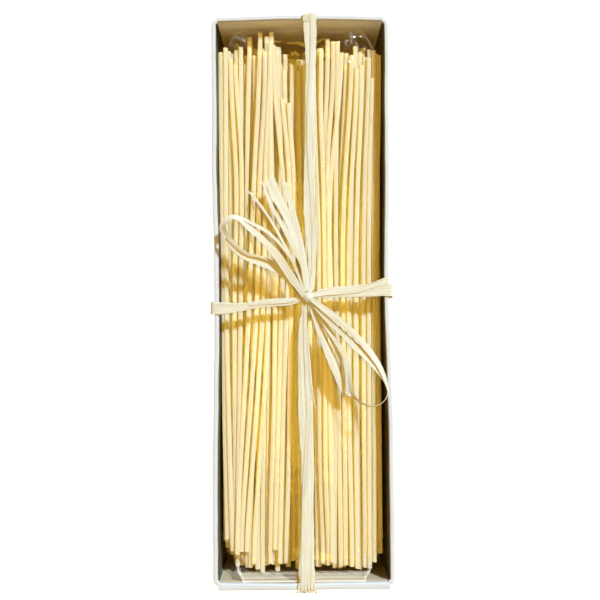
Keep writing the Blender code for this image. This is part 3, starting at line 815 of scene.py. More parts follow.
def build_spaghetti(material, settings):
    """All the strands in one mesh, each with a tint and bloom of its own, random round a mean. The
    hidden strands, which lie deeper, have a more golden and less floury mean: painted shade.
    """
    chance = np.random.default_rng(settings.seed + 1)
    strands = make_strands(settings)
    shown = len(LOWER_STRANDS) + len(UPPER_STRANDS)
    meshes = [strand_mesh(strands[:-shown], HIDDEN_SIDES, HIDDEN_RINGS, chance),
              strand_mesh(strands[-shown:], SHOWN_SIDES, SHOWN_RINGS, chance)]
    points, faces, caps, tints, blooms = [], [], [], [], []
    first = 0
    looks = ((HIDDEN_SHADED_TINT, HIDDEN_SHADED_BLOOM), (SHOWN_TINT, SHOWN_BLOOM))
    for group, (tint, bloom) in zip(meshes, looks):
        count, rings, sides = group.shape[:3]
        starts = first + np.arange(count) * rings * sides
        disc = np.arange(sides)
        faces.append((ring_faces(rings, sides)[:, ::-1] + starts[:, None, None]).reshape(-1, 4))
        caps += [disc + starts[:, None], disc[::-1] + (rings - 1) * sides + starts[:, None]]
        points.append(group.reshape(-1, 3))
        for values, mean, spread in ((tints, tint, TINT_SPREAD), (blooms, bloom, BLOOM_SPREAD)):
            value = np.clip(chance.normal(mean, spread, count), 0, 1)
            values.append(np.repeat(value, rings * sides))
        first += count * rings * sides
    values = {"tint": np.concatenate(tints), "bloom": np.concatenate(blooms)}
    add_piece("spaghetti_strands", np.vstack(points), faces + caps, [material],
              "bag_of_spaghetti", 60, values=values)


# ---------------------------------------------------------------- film

# Sharp puckers of the upper sheet: x, y, degrees turned from the pack's length, half length, height
FILM_PUCKERS = [
    (-31.0, 133.5, 60, 2.6, 0.8), (-28.6, 132.0, 15, 2.4, 0.8), (-33.5, 129.5, 40, 3.0, 0.7),
    (26.4, 133.0, 5, 3.4, 0.9), (29.6, 129.0, 25, 2.6, 0.9), (24.0, 130.0, 40, 2.0, 0.6),
    (24.0, 121.0, 62, 1.8, 0.8), (30.4, 118.5, 75, 2.6, 0.8), (35.0, 127.0, 50, 3.0, 0.6),
    (-30.0, -131.0, 60, 2.6, 0.8), (-34.0, -128.5, 45, 2.6, 0.7), (31.0, -132.5, 40, 2.6, 0.7)]


def ramp(value, start, stop, power=1.0):
    """0 up to start, 1 from stop on, and between them the share of the way to a power."""
    return np.clip((value - start) / (stop - start), 0, 1) ** power


def at_ends(y, change):
    """A change towards either end of the bag: the larger of its near and its far ramp."""
    near, far = change
    return np.maximum(ramp(-y, *near), ramp(y, *far))


def film_top(y, share, x):
    """Heights of the film's upper sheet.

    Between the ends it is a crown that drops with the square of the share, and turns down in a
    quarter circle past SHOULDER. At the near end it rises to the seal. At the far end it rises
    part of the way in a smooth step and then falls by FAR_SEAL_DROP. Near both ends it is crumpled
    by a sum of smooth waves in three directions.
    """
    hump, fall = ramp(y, *HUMP_SPAN), ramp(y, *FALL_SPAN)
    hump, fall = FAR_HUMP * hump ** 2 * (3 - 2 * hump), 0.6 * fall ** 2 * (2 - fall)
    rise = np.maximum(ramp(-y, *NEAR_RISE), hump)[:, None]
    crown = FILM_CROWN - FILM_CROWN_DROP * share ** 2
    shoulder = np.clip((np.abs(share) - SHOULDER) / (1 - SHOULDER), 0, 1)
    crown = crown - SHOULDER_DROP * (1 - np.sqrt(np.maximum(1 - shoulder ** 2, 0)))
    top = crown + (SEAL_HEIGHT + UPPER_LIFT - crown) * rise - FAR_SEAL_DROP * fall[:, None]
    top = top + waves(share * 40 + 50, (0.2, 61, 2.1)) * (1 - rise)
    crumple = sum(wander(x * math.cos(turn) + y[:, None] * math.sin(turn) + 300, seed, pitch)
                  for turn, seed, pitch in CRUMPLE_WAVES)
    flattened = 1 - 0.8 * ((rise > 0.99) & (y < 0)[:, None])
    return top + CRUMPLE_HEIGHT * crumple * at_ends(y, CRUMPLED)[:, None] * flattened


def film_puckers(x, y):
    """How far the puckers lift the upper sheet, and how strongly a painted highlight lies along
    each pucker's fold line.

    A pucker's height falls off as a bell curve aside from its line and along it.
    """
    lift, fold_glints = np.zeros_like(x), np.zeros_like(x)
    for middle, along, turn, length, height in FILM_PUCKERS:
        turn = math.radians(turn)
        aside = (x - middle) * math.cos(turn) + (y[:, None] - along) * math.sin(turn)
        forth = (y[:, None] - along) * math.cos(turn) - (x - middle) * math.sin(turn)
        lift = lift + height * np.exp(-(aside / PUCKER_WIDTH) ** 2 - (forth / length) ** 2)
        fold_glints = fold_glints + np.exp(-(aside / FOLD_WIDTH) ** 2 - (forth / length) ** 4)
    return lift, fold_glints


def film_haze_and_glints(y, share, slant, sealed, fold_glints):
    """Whiteness of the upper sheet: sine stripes on the near seal, whitish film with a painted
    highlight along the slanted edges, and painted highlights along the pucker fold lines.
    """
    near = y < 0
    mean, extra = STRIPES
    brim, start, stop = SEAL_BRIM
    stripes = mean + extra * np.sin(y * 2 * np.pi / STRIPE_PITCH + 1.2)
    stripes = stripes + brim * ramp(-y, start, stop)
    edge = ramp(np.abs(share), 0.95, 1.0) * (slant > 0)[:, None]
    haze = (np.where(near, stripes, FAR_WHITENESS) * sealed)[:, None]
    # Painted highlights: whiteness along the pucker fold lines, and in part along the slanted edges
    return haze + np.where(near, *EDGE_WHITENESS_AND_GLINT)[:, None] * edge + FOLD_GLINT_WHITENESS * fold_glints


def build_film(material):
    """The clear bag round the strands, as closed sections along the pack.

    A section runs over the top from left to right and back underneath. Towards each end the upper
    sheet grows narrower in a straight line, and the lower sheet follows later and rises to the
    flat seal, which is crimped by a fine sine wave.
    """
    marks = [SEAL_NEAR, SEAL_NEAR + 6, -120, 120, BAG_FAR - 5, BAG_FAR]
    y = np.concatenate([np.linspace(start, stop, count, endpoint=False) for start, stop, count
                        in zip(marks, marks[1:], (12, 19, 59, 19, 10))] + [[BAG_FAR]])
    share = np.linspace(-1, 1, 71)
    full = BUNDLE_HALF_WIDTH + FILM_ROOM - pinch_at(y) * FILM_PINCH
    seal = np.where(y < 0, SEAL_HALF_WIDTH - NEAR_SEAL_NARROWING, SEAL_HALF_WIDTH)
    slant = at_ends(y, SLANT)
    upper_x = (full + (seal - full) * slant)[:, None] * share
    lower_x = (full + (seal - full) * at_ends(y, LOWER_SLANT))[:, None] * share
    sealed = at_ends(y, CRIMPED)
    crimp = CRIMP_HEIGHT * np.sin(y * 2 * np.pi / CRIMP_PITCH) * sealed
    lift, fold_glints = film_puckers(upper_x, y)
    top = film_top(y, share, upper_x) + lift + crimp[:, None]
    seal_z = SEAL_HEIGHT - LOWER_DROP - 1.25 * FAR_SEAL_DROP * (y > 0)
    under = BAG_UNDERSIDE + (seal_z - BAG_UNDERSIDE) * at_ends(y, LOWER_RISE)
    under = np.minimum(under[:, None], top - SHEET_GAP)
    flat_y = np.broadcast_to(y[:, None], top.shape)
    upper = np.stack([upper_x, flat_y, top], axis=-1)
    lower = np.stack([lower_x, flat_y, under], axis=-1)[:, ::-1]
    points = np.concatenate([upper, lower], axis=1)
    rings, around = points.shape[:2]
    haze = film_haze_and_glints(y, share, slant, sealed, fold_glints)
    haze = np.concatenate([haze, np.zeros_like(haze)], axis=1)
    add_piece("clear_film", points, [ring_faces(rings, around), flat_strip_caps(rings, around)],
              [material], "bag_of_spaghetti", 50, values={"haze": haze})


# ---------------------------------------------------------------- raffia

def strip_points(rows, seed, columns=11, gutter=GUTTER, fray=0, side=None, creases=2):
    """A flat strip carried along a smooth path, as closed sections, with its UV map.

    rows are (x, y, z, width) in millimetres, and a roll in degrees where there is one. side is the
    direction of the strip's width before it rolls, which is level where it is left out. At share u
    from -1 to 1 across, a point stands half the width times u to the side, and
    gutter * width * (u^2 - 1/3) plus a ripple above the path, less a bell curve at each crease.
    fray is how far the last end is torn, in millimetres.
    """
    rows, along = smooth_rows(rows, STRIP_STEP)
    places = rows[:, :3]
    tangent = unit(np.gradient(places, axis=0))
    if side is None:
        level = unit(np.cross([0.0, 0.0, 1.0], tangent))
    else:
        level = np.broadcast_to(np.asarray(side, float), tangent.shape)
        level = unit(level - tangent * np.sum(level * tangent, axis=1, keepdims=True))
    roll = np.radians(rows[:, 4])[:, None]
    across = level * np.cos(roll) + np.cross(tangent, level) * np.sin(roll)
    face = np.cross(tangent, across)
    u = np.linspace(-1, 1, columns)
    width = rows[:, 3] * (1 + waves(along, (0.07, seed, 5.0)))
    hollow = (1 + waves(along, (0.5, seed + 1, 9.0)))[:, None]
    lift = gutter * width[:, None] * (u ** 2 - 1 / 3) * hollow
    lift = lift + RIPPLE * np.stack([wander(along + 30 * i, seed + 7 * i, 11.0)
                                     for i in range(columns)], axis=1)
    for crease in range(creases):
        line = (crease + 0.5) / creases * 2 - 1 + waves(along, (0.5, seed + 20 + crease, 23.0))
        depth = CREASE_DEPTH * width * (0.6 + waves(along, (0.4, seed + 30 + crease, 12.0)))
        lift = lift - depth[:, None] * np.exp(-((u - line[:, None]) / CREASE_WIDTH) ** 2)
    left = 1 + waves(along, (0.05, seed + 3, 2.3))
    right = 1 + waves(along, (0.05, seed + 4, 2.7))
    spread = u * np.where(u < 0, left[:, None], right[:, None])
    middle = (places[:, None] + across[:, None] * (spread * width[:, None] / 2)[..., None]
              + face[:, None] * lift[..., None])
    torn = np.random.default_rng(seed + 50).uniform(-1, 1, (2, columns))[1]
    middle[-1] += tangent[-1] * (torn * fray)[:, None]
    thinner = np.where(np.abs(u) > 0.99, EDGE_THIN, 1.0)[None, :, None]
    half = face[:, None] * STRIP_THICKNESS / 2 * thinner
    points = np.concatenate([middle + half, (middle - half)[:, ::-1]], axis=1)
    flat = u * width[:, None] / 2
    uv = np.stack([flat + seed * 3.7, np.broadcast_to(along[:, None], flat.shape)], axis=-1)
    uv = np.concatenate([uv, uv[:, ::-1] + [0.7, 0.0]], axis=1)
    return points, uv


def add_strips(name, strips, material, node):
    """Several strips joined in one mesh that stands for a CAD node."""
    points, faces, uvs = [], [], []
    first = 0
    for part, uv in strips:
        rings, around = part.shape[:2]
        faces += [ring_faces(rings, around, first)[:, ::-1],
                  flat_strip_caps(rings, around, first)[:, ::-1]]
        points.append(part.reshape(-1, 3))
        uvs.append(uv.reshape(-1, 2))
        first += rings * around
    add_piece(name, np.vstack(points), faces, [material], node, 60, uvs=np.vstack(uvs))


# Rows of (x, y, z, width) in millimetres, and a roll in degrees where the strip rolls
LOOP_LEFT_BROAD = [
    (1.0, 0.8, 51.5, 2.2), (-1.9, 5.2, 53, 3.2), (-5.1, 9.9, 54, 4), (-11.4, 19.6, 56, 4, 2),
    (-18.6, 27.9, 57.3, 3.2, 6), (-24.7, 33.8, 57.8, 3.2, 12), (-29.3, 38.0, 57.6, 3, 24),
    (-32.8, 39.6, 57, 3.2, 38), (-35.7, 39.0, 56.6, 3.6, 42), (-38.0, 37.0, 56.2, 3.8, 40),
    (-38.8, 34.2, 55.6, 3.8, 30), (-37.4, 30.8, 55, 3.8, 18), (-34.5, 26.6, 54.4, 3.8, 8),
    (-30.4, 22.5, 53.8, 4.0, 2), (-25.3, 19.5, 53.4, 4.2), (-19.1, 17.5, 53.2, 4.4),
    (-13.0, 14.7, 52.8, 4.4), (-7.3, 10.5, 52.4, 3.8), (-2.4, 6.0, 52, 2.8), (0.5, 1.1, 51.2, 2)]
LOOP_LEFT_UPPER_SLIM = [
    (1.5, 1.8, 51.5, 1), (-2.3, 12.6, 54, 1.3), (-6.7, 21.2, 56.5, 1.4),
    (-14.4, 30.1, 58.2, 1.6, 4), (-19.7, 33.9, 58.4, 1.8, 8), (-23.9, 36.1, 58, 1.6, 12),
    (-28.6, 38.8, 57.4, 1.4, 25)]
LOOP_LEFT_LOWER_SLIM = [
    (-37.2, 29.5, 55.2, 1.2, 30), (-32.0, 24.8, 54.8, 1.6, 20), (-26.7, 21.6, 54.4, 1.6, 10),
    (-20.5, 20.2, 54.2, 1.4), (-14.2, 17.5, 53.8, 1.6), (-8.3, 13.2, 53.2, 1.6),
    (-3.4, 8.2, 52.6, 1.4), (0.5, 1.8, 51.4, 1.2)]
LOOP_LEFT_HAIR = [(-26.7, 21.4, 54.3, 0.4), (-25.5, 22.8, 54.8, 0.4), (-23.6, 25.7, 55.6, 0.3)]
LOOP_RIGHT_OUTER = [
    (4.5, -0.7, 51.6, 2.2), (9.8, -5.0, 53.4, 3), (14.7, -8.8, 54.6, 3.4), (20.9, -14.0, 56, 3.4),
    (26.9, -19.9, 57.2, 3.2, -4), (32.1, -26.0, 58.2, 3, -10), (36.1, -31.8, 58.8, 2.8, -22),
    (39.1, -38.0, 59, 2.6, -40), (40.9, -43.9, 58.8, 2.4, -62), (41.2, -47.0, 58.4, 2.2, -72),
    (39.8, -50.2, 57.8, 2.2, -76), (37.0, -52.6, 57, 2, -72), (33.4, -53.5, 56.2, 2, -66),
    (29.6, -52.2, 55.4, 2, -58), (26.0, -49.7, 54.8, 2, -48), (23.9, -46.5, 54.4, 2.2, -36),
    (23.3, -42.2, 54, 2.4, -24), (22.6, -35.8, 53.6, 2.4, -12), (20.7, -29.0, 53.2, 2.4, -6),
    (16.6, -21.6, 52.8, 2.4), (11.8, -14.2, 52.2, 2.2), (7.4, -6.7, 51.6, 1.8),
    (4.5, -1.7, 51, 1.6)]
LOOP_RIGHT_INNER = [
    (5.0, -2.2, 51.2, 1.8), (9.8, -8.0, 53, 2.4), (15.1, -13.7, 54.2, 2.6, 5),
    (20.4, -18.6, 55.2, 2.8, 5), (25.4, -23.8, 56.4, 3.4), (30.2, -28.2, 57.4, 3.4, -6),
    (34.6, -33.2, 58.2, 2.8, -20), (38.4, -38.8, 58.6, 2.4, -40), (40.8, -43.9, 58.6, 2.2, -80)]
TAIL_FAR_SLIM = [
    (1.3, 1.1, 51, 1), (-2.3, 12.6, 53, 1.2), (-5.5, 20.5, 54.5, 1.2), (-8.9, 26.9, 55, 1.2),
    (-14.5, 37.2, 54, 1.2), (-19.5, 44.9, 52.8, 1.2), (-24.0, 50.9, 51.5, 1.2),
    (-27.0, 53.9, 50.6, 0.9)]
TAIL_FAR_EDGE = [
    (2.0, 3.3, 51.5, 1.4), (0.3, 15.7, 51.5, 1.8), (-2.3, 22.2, 51.6, 2.4),
    (-5.5, 28.7, 51.6, 2.6), (-8.7, 35.0, 51.4, 2.4), (-13.3, 42.9, 51, 2),
    (-16.1, 48.8, 50.6, 1.6), (-18.3, 55.4, 50.2, 1.2), (-20.8, 60.0, 49.8, 0.8)]
TAIL_FAR_BROAD = [
    (2.6, 3.8, 51, 1.6), (0.4, 17.8, 51, 2.6), (-1.5, 25.3, 51, 3.2, 5), (-4.4, 34.3, 51, 3.8, 5),
    (-7.9, 42.4, 50.8, 4.4, 5), (-11.3, 49.0, 50.5, 4.8, 5), (-13.8, 54.6, 50.2, 4.8),
    (-15.5, 60.0, 49.8, 4.8)]
TAIL_FAR_UNDER = [
    (3.1, 4.3, 50.6, 1.2), (1.2, 17.8, 50.6, 1.6), (-0.5, 27.3, 50.6, 1.8), (-2.3, 35.9, 50.5, 2),
    (-4.7, 45.2, 50.2, 2.4), (-6.8, 52.1, 50, 2.8), (-8.3, 58.0, 49.7, 2.6)]
TAIL_FAR_THREAD = [
    (3.6, 4.8, 50.4, 0.8), (2.1, 17.8, 50.2, 1), (0.5, 27.4, 50.2, 1), (-1.4, 35.9, 50.2, 1),
    (-3.6, 44.0, 50, 1), (-5.8, 51.4, 49.8, 0.8)]
TAIL_NEAR_BROAD = [
    (3.8, -2.2, 50.4, 1.6), (5.9, -8.1, 50.3, 2.6), (9.1, -17.1, 50.2, 3.6, -4),
    (12.7, -26.1, 50, 4.2, -6), (15.9, -34.0, 49.8, 4.4, -4), (18.8, -41.5, 49.6, 4),
    (21.5, -48.5, 49.3, 3.2)]
TAIL_NEAR_OVER = [
    (4.5, -2.7, 50.9, 1.6), (8.4, -8.7, 50.8, 2.4, -5), (12.8, -15.9, 50.7, 3.2, -8),
    (17.0, -23.4, 50.4, 3.6, -8), (19.9, -30.1, 50.1, 3.6, -6), (21.6, -37.0, 49.9, 3.2, -4),
    (22.8, -44.5, 49.7, 2.6), (23.5, -49.2, 49.4, 1.8)]
TAIL_NEAR_SLIM = [
    (3.0, -2.6, 50, 0.7), (5.2, -10.1, 50, 0.7), (9.1, -22.3, 50, 0.7), (13.9, -34.0, 49.8, 0.7),
    (17.6, -42.5, 49.5, 0.6), (20.5, -49.0, 49.2, 0.5)]
BAND_SPLIT_FIBRE = [
    (2.2, -16.1, 49.3, 0.8), (3.4, -30.0, 49.3, 0.9), (4.4, -43.4, 49.2, 0.9),
    (5.4, -50.8, 49, 0.7), (6.3, -54.8, 48.8, 0.5)]
# Over the top only: round the pack they go on as round_the_pack says
LENGTHWISE_FAR = [
    (3.8, 2.3, 50.2, 2.4), (4.8, 7.4, 49.6, 3.2), (5.3, 16.9, 49, 3.6), (4.9, 26.5, 48.7, 5),
    (4.2, 44.2, 48.6, 5.8), (4.4, 64.4, 48.6, 5.6), (5.0, 79.7, 48.6, 5), (5.2, 100.1, 48.6, 4.8),
    (5.5, 120.6, 48.6, 5), (5.3, 133.4, 48.6, 6.2), (5.0, 142.6, 48.6, 6.6)]
LENGTHWISE_NEAR = [
    (1.5, -142.6, 48.6, 7.6), (1.4, -129.4, 48.6, 7.4), (1.8, -119.6, 48.6, 6.6),
    (1.9, -107.4, 48.6, 6), (2.1, -97.6, 48.6, 6), (2.1, -80.5, 48.6, 6.2),
    (1.5, -63.2, 48.6, 6.6), (0.7, -45.9, 48.6, 5.8), (0.4, -28.0, 48.6, 5),
    (0.3, -18.3, 48.7, 4.4), (0.3, -12.1, 48.8, 3), (1.2, -5.6, 49.2, 2), (1.5, -2.1, 49.8, 1.8)]
CROSSWISE_RIGHT = [
    (5.5, 0.4, 49.6, 1.4), (14.0, 0.8, 48.8, 1.4), (20.1, 0.9, 48.7, 1.8), (25.1, 1.7, 48.6, 3.6),
    (31.1, 2.7, 48.6, 5), (37.1, 3.4, 48.6, 6), (42.4, 3.7, 48.6, 6.6)]
CROSSWISE_LEFT = [
    (-42.4, -4.9, 48.6, 6), (-37.0, -4.8, 48.6, 5.6), (-29.5, -4.3, 48.6, 4),
    (-24.7, -3.8, 48.7, 2.8), (-20.0, -3.5, 48.8, 2.6), (-13.5, -2.8, 49, 2.8),
    (-7.0, -2.2, 49.2, 2.8), (-1.5, -1.4, 49.8, 2)]
# Blades that lie on the bands
CROSSWISE_RIGHT_FOLD = [
    (5.5, 1.1, 50, 2), (10.0, 2.5, 49.5, 3.2), (15.1, 3.3, 49.2, 3.8), (21.6, 3.7, 49, 4),
    (28.1, 4.4, 48.9, 3.6), (34.6, 5.7, 48.8, 3), (41.1, 7.9, 48.8, 3.2), (43.2, 8.4, 48.7, 3.2)]
CROSSWISE_LEFT_FOLD = [
    (-27.0, -3.0, 48.9, 1.2), (-22.9, -2.5, 49.1, 2.2), (-17.9, -1.8, 49.3, 2.8),
    (-11.9, -1.5, 49.5, 2.6), (-5.9, -1.1, 49.7, 2.2), (-0.5, -0.6, 50, 1.6)]
LENGTHWISE_FAR_OVER = [
    (4.6, 6.0, 50.0, 1.6), (6.0, 18.0, 49.3, 2.2), (6.4, 34.0, 49.0, 2.6), (5.4, 56.0, 49.0, 2.4),
    (4.2, 78.0, 49.0, 2.2), (4.6, 100.0, 49.0, 2.0), (6.0, 122.0, 49.0, 2.4),
    (6.6, 136.0, 49.0, 2.8), (6.6, 143.6, 49.1, 2.8), (6.6, 145.3, 48.2, 2.8),
    (6.5, 145.4, 44.0, 2.6)]
LENGTHWISE_NEAR_OVER = [
    (1.6, -6.0, 49.6, 1.2), (1.6, -20.0, 49.1, 2.0), (2.2, -38.0, 49.0, 2.4),
    (3.0, -58.0, 49.0, 2.4), (1.6, -80.0, 49.0, 2.2), (0.4, -102.0, 49.0, 2.4),
    (0.2, -122.0, 49.0, 2.8), (0.0, -136.0, 49.0, 3.0), (-0.3, -143.6, 49.1, 3.0),
    (-0.3, -145.3, 48.2, 3.0), (-0.2, -145.4, 44.0, 2.8)]
KNOT_WRAP = [
    (0.2, -1.9, 48.9, 2.4), (1.0, -1.2, 50.9, 2.8), (2.9, 0.2, 52.0, 3.0), (4.8, 1.4, 50.9, 2.8),
    (5.7, 2.1, 49.0, 2.2)]
KNOT_TUCK = [
    (1.4, 3.0, 49.2, 1.6), (2.2, 1.9, 51.0, 2.0), (3.2, 0.1, 51.7, 2.2), (4.3, -1.8, 50.9, 2.0),
    (5.0, -3.0, 49.2, 1.6)]
# Short torn fibres where the band turns over a rim: x, sideways lean and how far they stand out
FAR_FIBRES = [
    (2.2, -0.8, 0.1), (3.3, -0.3, 0.3), (4.6, 0.1, 0.0), (6.2, 0.3, 0.4), (7.6, 0.5, 0.1),
    (8.1, 1.0, 0.2)]
NEAR_FIBRES = [
    (-2.3, -1.2, 0.3), (-1.2, -0.4, 0.0), (0.6, -0.1, 0.4), (2.2, 0.2, 0.1), (3.6, 0.3, 0.3),
    (4.9, 1.2, 0.4)]
# The bow's pieces, by the ends of their names: each strip's rows, seed and other values
BOW = {
    "loop_left": [(LOOP_LEFT_BROAD, 21, {}),
                  (LOOP_LEFT_UPPER_SLIM, 23, {"columns": 5, "creases": 1}),
                  (LOOP_LEFT_LOWER_SLIM, 25, {"columns": 5, "creases": 1}),
                  (LOOP_LEFT_HAIR, 27, {"columns": 3, "creases": 0})],
    "loop_right": [(LOOP_RIGHT_OUTER, 31, {}), (LOOP_RIGHT_INNER, 33, {})],
    "tail_far_wide": [(TAIL_FAR_EDGE, 41, {"fray": 0.8}), (TAIL_FAR_BROAD, 43, {"fray": 0.8}),
                      (TAIL_FAR_UNDER, 45, {"fray": 0.8}),
                      (TAIL_FAR_THREAD, 47, {"columns": 4, "fray": 0.5, "creases": 0})],
    "tail_far_slim": [(TAIL_FAR_SLIM, 51, {"columns": 5, "fray": 0.5, "creases": 0})],
    "tail_near_wide": [(TAIL_NEAR_BROAD, 53, {"fray": 0.8}), (TAIL_NEAR_OVER, 55, {"fray": 0.8})],
    "tail_near_slim": [(TAIL_NEAR_SLIM, 57, {"columns": 4, "fray": 0.5, "creases": 0})],
}


def rim_fibre(x, lean, reach, end):
    """Rows of a short fibre that lies on the lengthwise band and stands out past the end's rim."""
    return [(x, end * 140.5, 48.9, 0.9), (x + 0.3 * lean, end * 143.8, 49.1, 1.0),
            (x + 0.8 * lean, end * (145.0 + 0.6 * reach), 48.8, 0.8),
            (x + 1.4 * lean, end * (145.3 + reach), 47.6, 0.4)]


def round_the_pack(out, back, axis, half):
    """A band's rows: out over the top, down the wall, under the tray, up the other wall and back.

    axis is 0 for the crosswise band and 1 for the lengthwise one. Round the pack it follows a
    rectangle with rounded corners, half to the side and from BAND_FOOT to BAND_TOP high.
    """
    out, back = smooth_rows(out, 1.0)[0], smooth_rows(back, 1.0)[0]
    turn = np.linspace(0, np.pi / 2, 5)
    reach, top, foot = half - BAND_CORNER, BAND_TOP - BAND_CORNER, BAND_FOOT + BAND_CORNER
    sine, cosine = BAND_CORNER * np.sin(turn), BAND_CORNER * np.cos(turn)
    wall = np.linspace(top - 1, foot + 1, 44)
    under = np.linspace(reach - 1, 1 - reach, int(2 * reach))
    down = np.vstack([np.column_stack([reach + sine, top + cosine]),
                      np.column_stack([np.full(len(wall), half), wall]),
                      np.column_stack([reach + cosine, foot - sine])])
    under = np.column_stack([under, np.full(len(under), BAND_FOOT)])
    outline = np.vstack([down, under, down[::-1] * [-1, 1]])
    share = np.linspace(0, 1, len(outline))[:, None]
    rows = out[-1] + (back[0] - out[-1]) * share
    rows[:, [axis, 2]] = outline
    return np.vstack([out, rows, back])


def build_bands(material):
    """Both bands with the blades and fibres on them, and the knot, in one mesh."""
    lengthwise = round_the_pack(LENGTHWISE_FAR, LENGTHWISE_NEAR, 1, LENGTHWISE_REACH)
    crosswise = round_the_pack(CROSSWISE_RIGHT, CROSSWISE_LEFT, 0, CROSSWISE_REACH)
    right, far = (1, 0, 0), (0, 1, 0)
    strips = [strip_points(lengthwise, 3, 21, gutter=FLAT_GUTTER, side=right, creases=3),
              strip_points(crosswise, 5, 19, gutter=FLAT_GUTTER, side=far),
              strip_points(CROSSWISE_RIGHT_FOLD, 7),
              strip_points(CROSSWISE_LEFT_FOLD, 9),
              strip_points(BAND_SPLIT_FIBRE, 11, 4, fray=0.5, creases=0),
              strip_points(LENGTHWISE_FAR_OVER, 16, side=right),
              strip_points(LENGTHWISE_NEAR_OVER, 17, side=right),
              strip_points(KNOT_WRAP, 13, gutter=KNOT_GUTTER, creases=3),
              strip_points(KNOT_TUCK, 15, gutter=KNOT_GUTTER)]
    for end, fibres in ((1, FAR_FIBRES), (-1, NEAR_FIBRES)):
        for i, fibre in enumerate(fibres):
            strips.append(strip_points(rim_fibre(*fibre, end), 60 + i, 4, fray=0.3, side=right,
                                       creases=0))
    add_strips("raffia_bands", strips, material, "raffia_tie")


# ---------------------------------------------------------------- stage

def make_floor(scene, material):
    """A square floor just under the pack."""
    mesh = bpy.data.meshes.new("floor")
    corners = [(x * STAGE_REACH, y * STAGE_REACH, -STAGE_DROP)
               for x, y in ((-1, -1), (1, -1), (1, 1), (-1, 1))]
    mesh.from_pydata(corners, [], [(0, 1, 2, 3)])
    mesh.materials.append(material)
    floor = bpy.data.objects.new("floor", mesh)
    scene.collection.objects.link(floor)


def make_world(scene, strength):
    """A faint warm light from all round, behind which the camera itself sees plain white."""
    world = bpy.data.worlds.new("studio")
    world.use_nodes = True
    nodes, links = world.node_tree.nodes, world.node_tree.links
    fill = nodes["Background"]
    fill.inputs["Color"].default_value = (*FILL_COLOUR, 1.0)
    fill.inputs["Strength"].default_value = strength
    backdrop = nodes.new("ShaderNodeBackground")
    backdrop.inputs["Color"].default_value = (*WHITE, 1.0)
    both = nodes.new("ShaderNodeMixShader")
    links.new(nodes.new("ShaderNodeLightPath").outputs["Is Camera Ray"], both.inputs["Fac"])
    links.new(fill.outputs[0], both.inputs[1])
    links.new(backdrop.outputs[0], both.inputs[2])
    links.new(both.outputs[0], nodes["World Output"].inputs["Surface"])
    scene.world = world


def make_lights(scene, settings):
    """The three suns, each of which shines from its own direction."""
    for name, strength, angle, colour, towards in LIGHTS:
        light = bpy.data.lights.new(name, 'SUN')
        light.energy = getattr(settings, strength)
        light.angle = math.radians(angle)
        light.color = colour
        lamp = bpy.data.objects.new(name, light)
        lamp.rotation_euler = Vector(towards).to_track_quat('Z', 'Y').to_euler()
        lamp.location = Vector(towards) * LIGHT_DISTANCE
        scene.collection.objects.link(lamp)


def make_camera(scene):
    """The camera, almost straight above the pack."""
    lens = bpy.data.cameras.new("camera")
    lens.lens = CAMERA_LENS
    lens.sensor_width = CAMERA_SENSOR
    lens.clip_start = CAMERA_CLIP
    camera = bpy.data.objects.new("camera", lens)
    camera.location = CAMERA_PLACE
    camera.rotation_euler = [math.radians(angle) for angle in CAMERA_TURN]
    scene.collection.objects.link(camera)
    scene.camera = camera


# ---------------------------------------------------------------- add-on

def colour_of(name, description, default):
    """A colour that a user would change."""
    return FloatVectorProperty(name=name, description=description, default=default, size=3,
                               subtype='COLOR')


def strength_of(name, description, default, **limits):
    """A strength, from 0 up, that a user would change."""
    return FloatProperty(name=name, description=description, default=default, min=0.0, **limits)


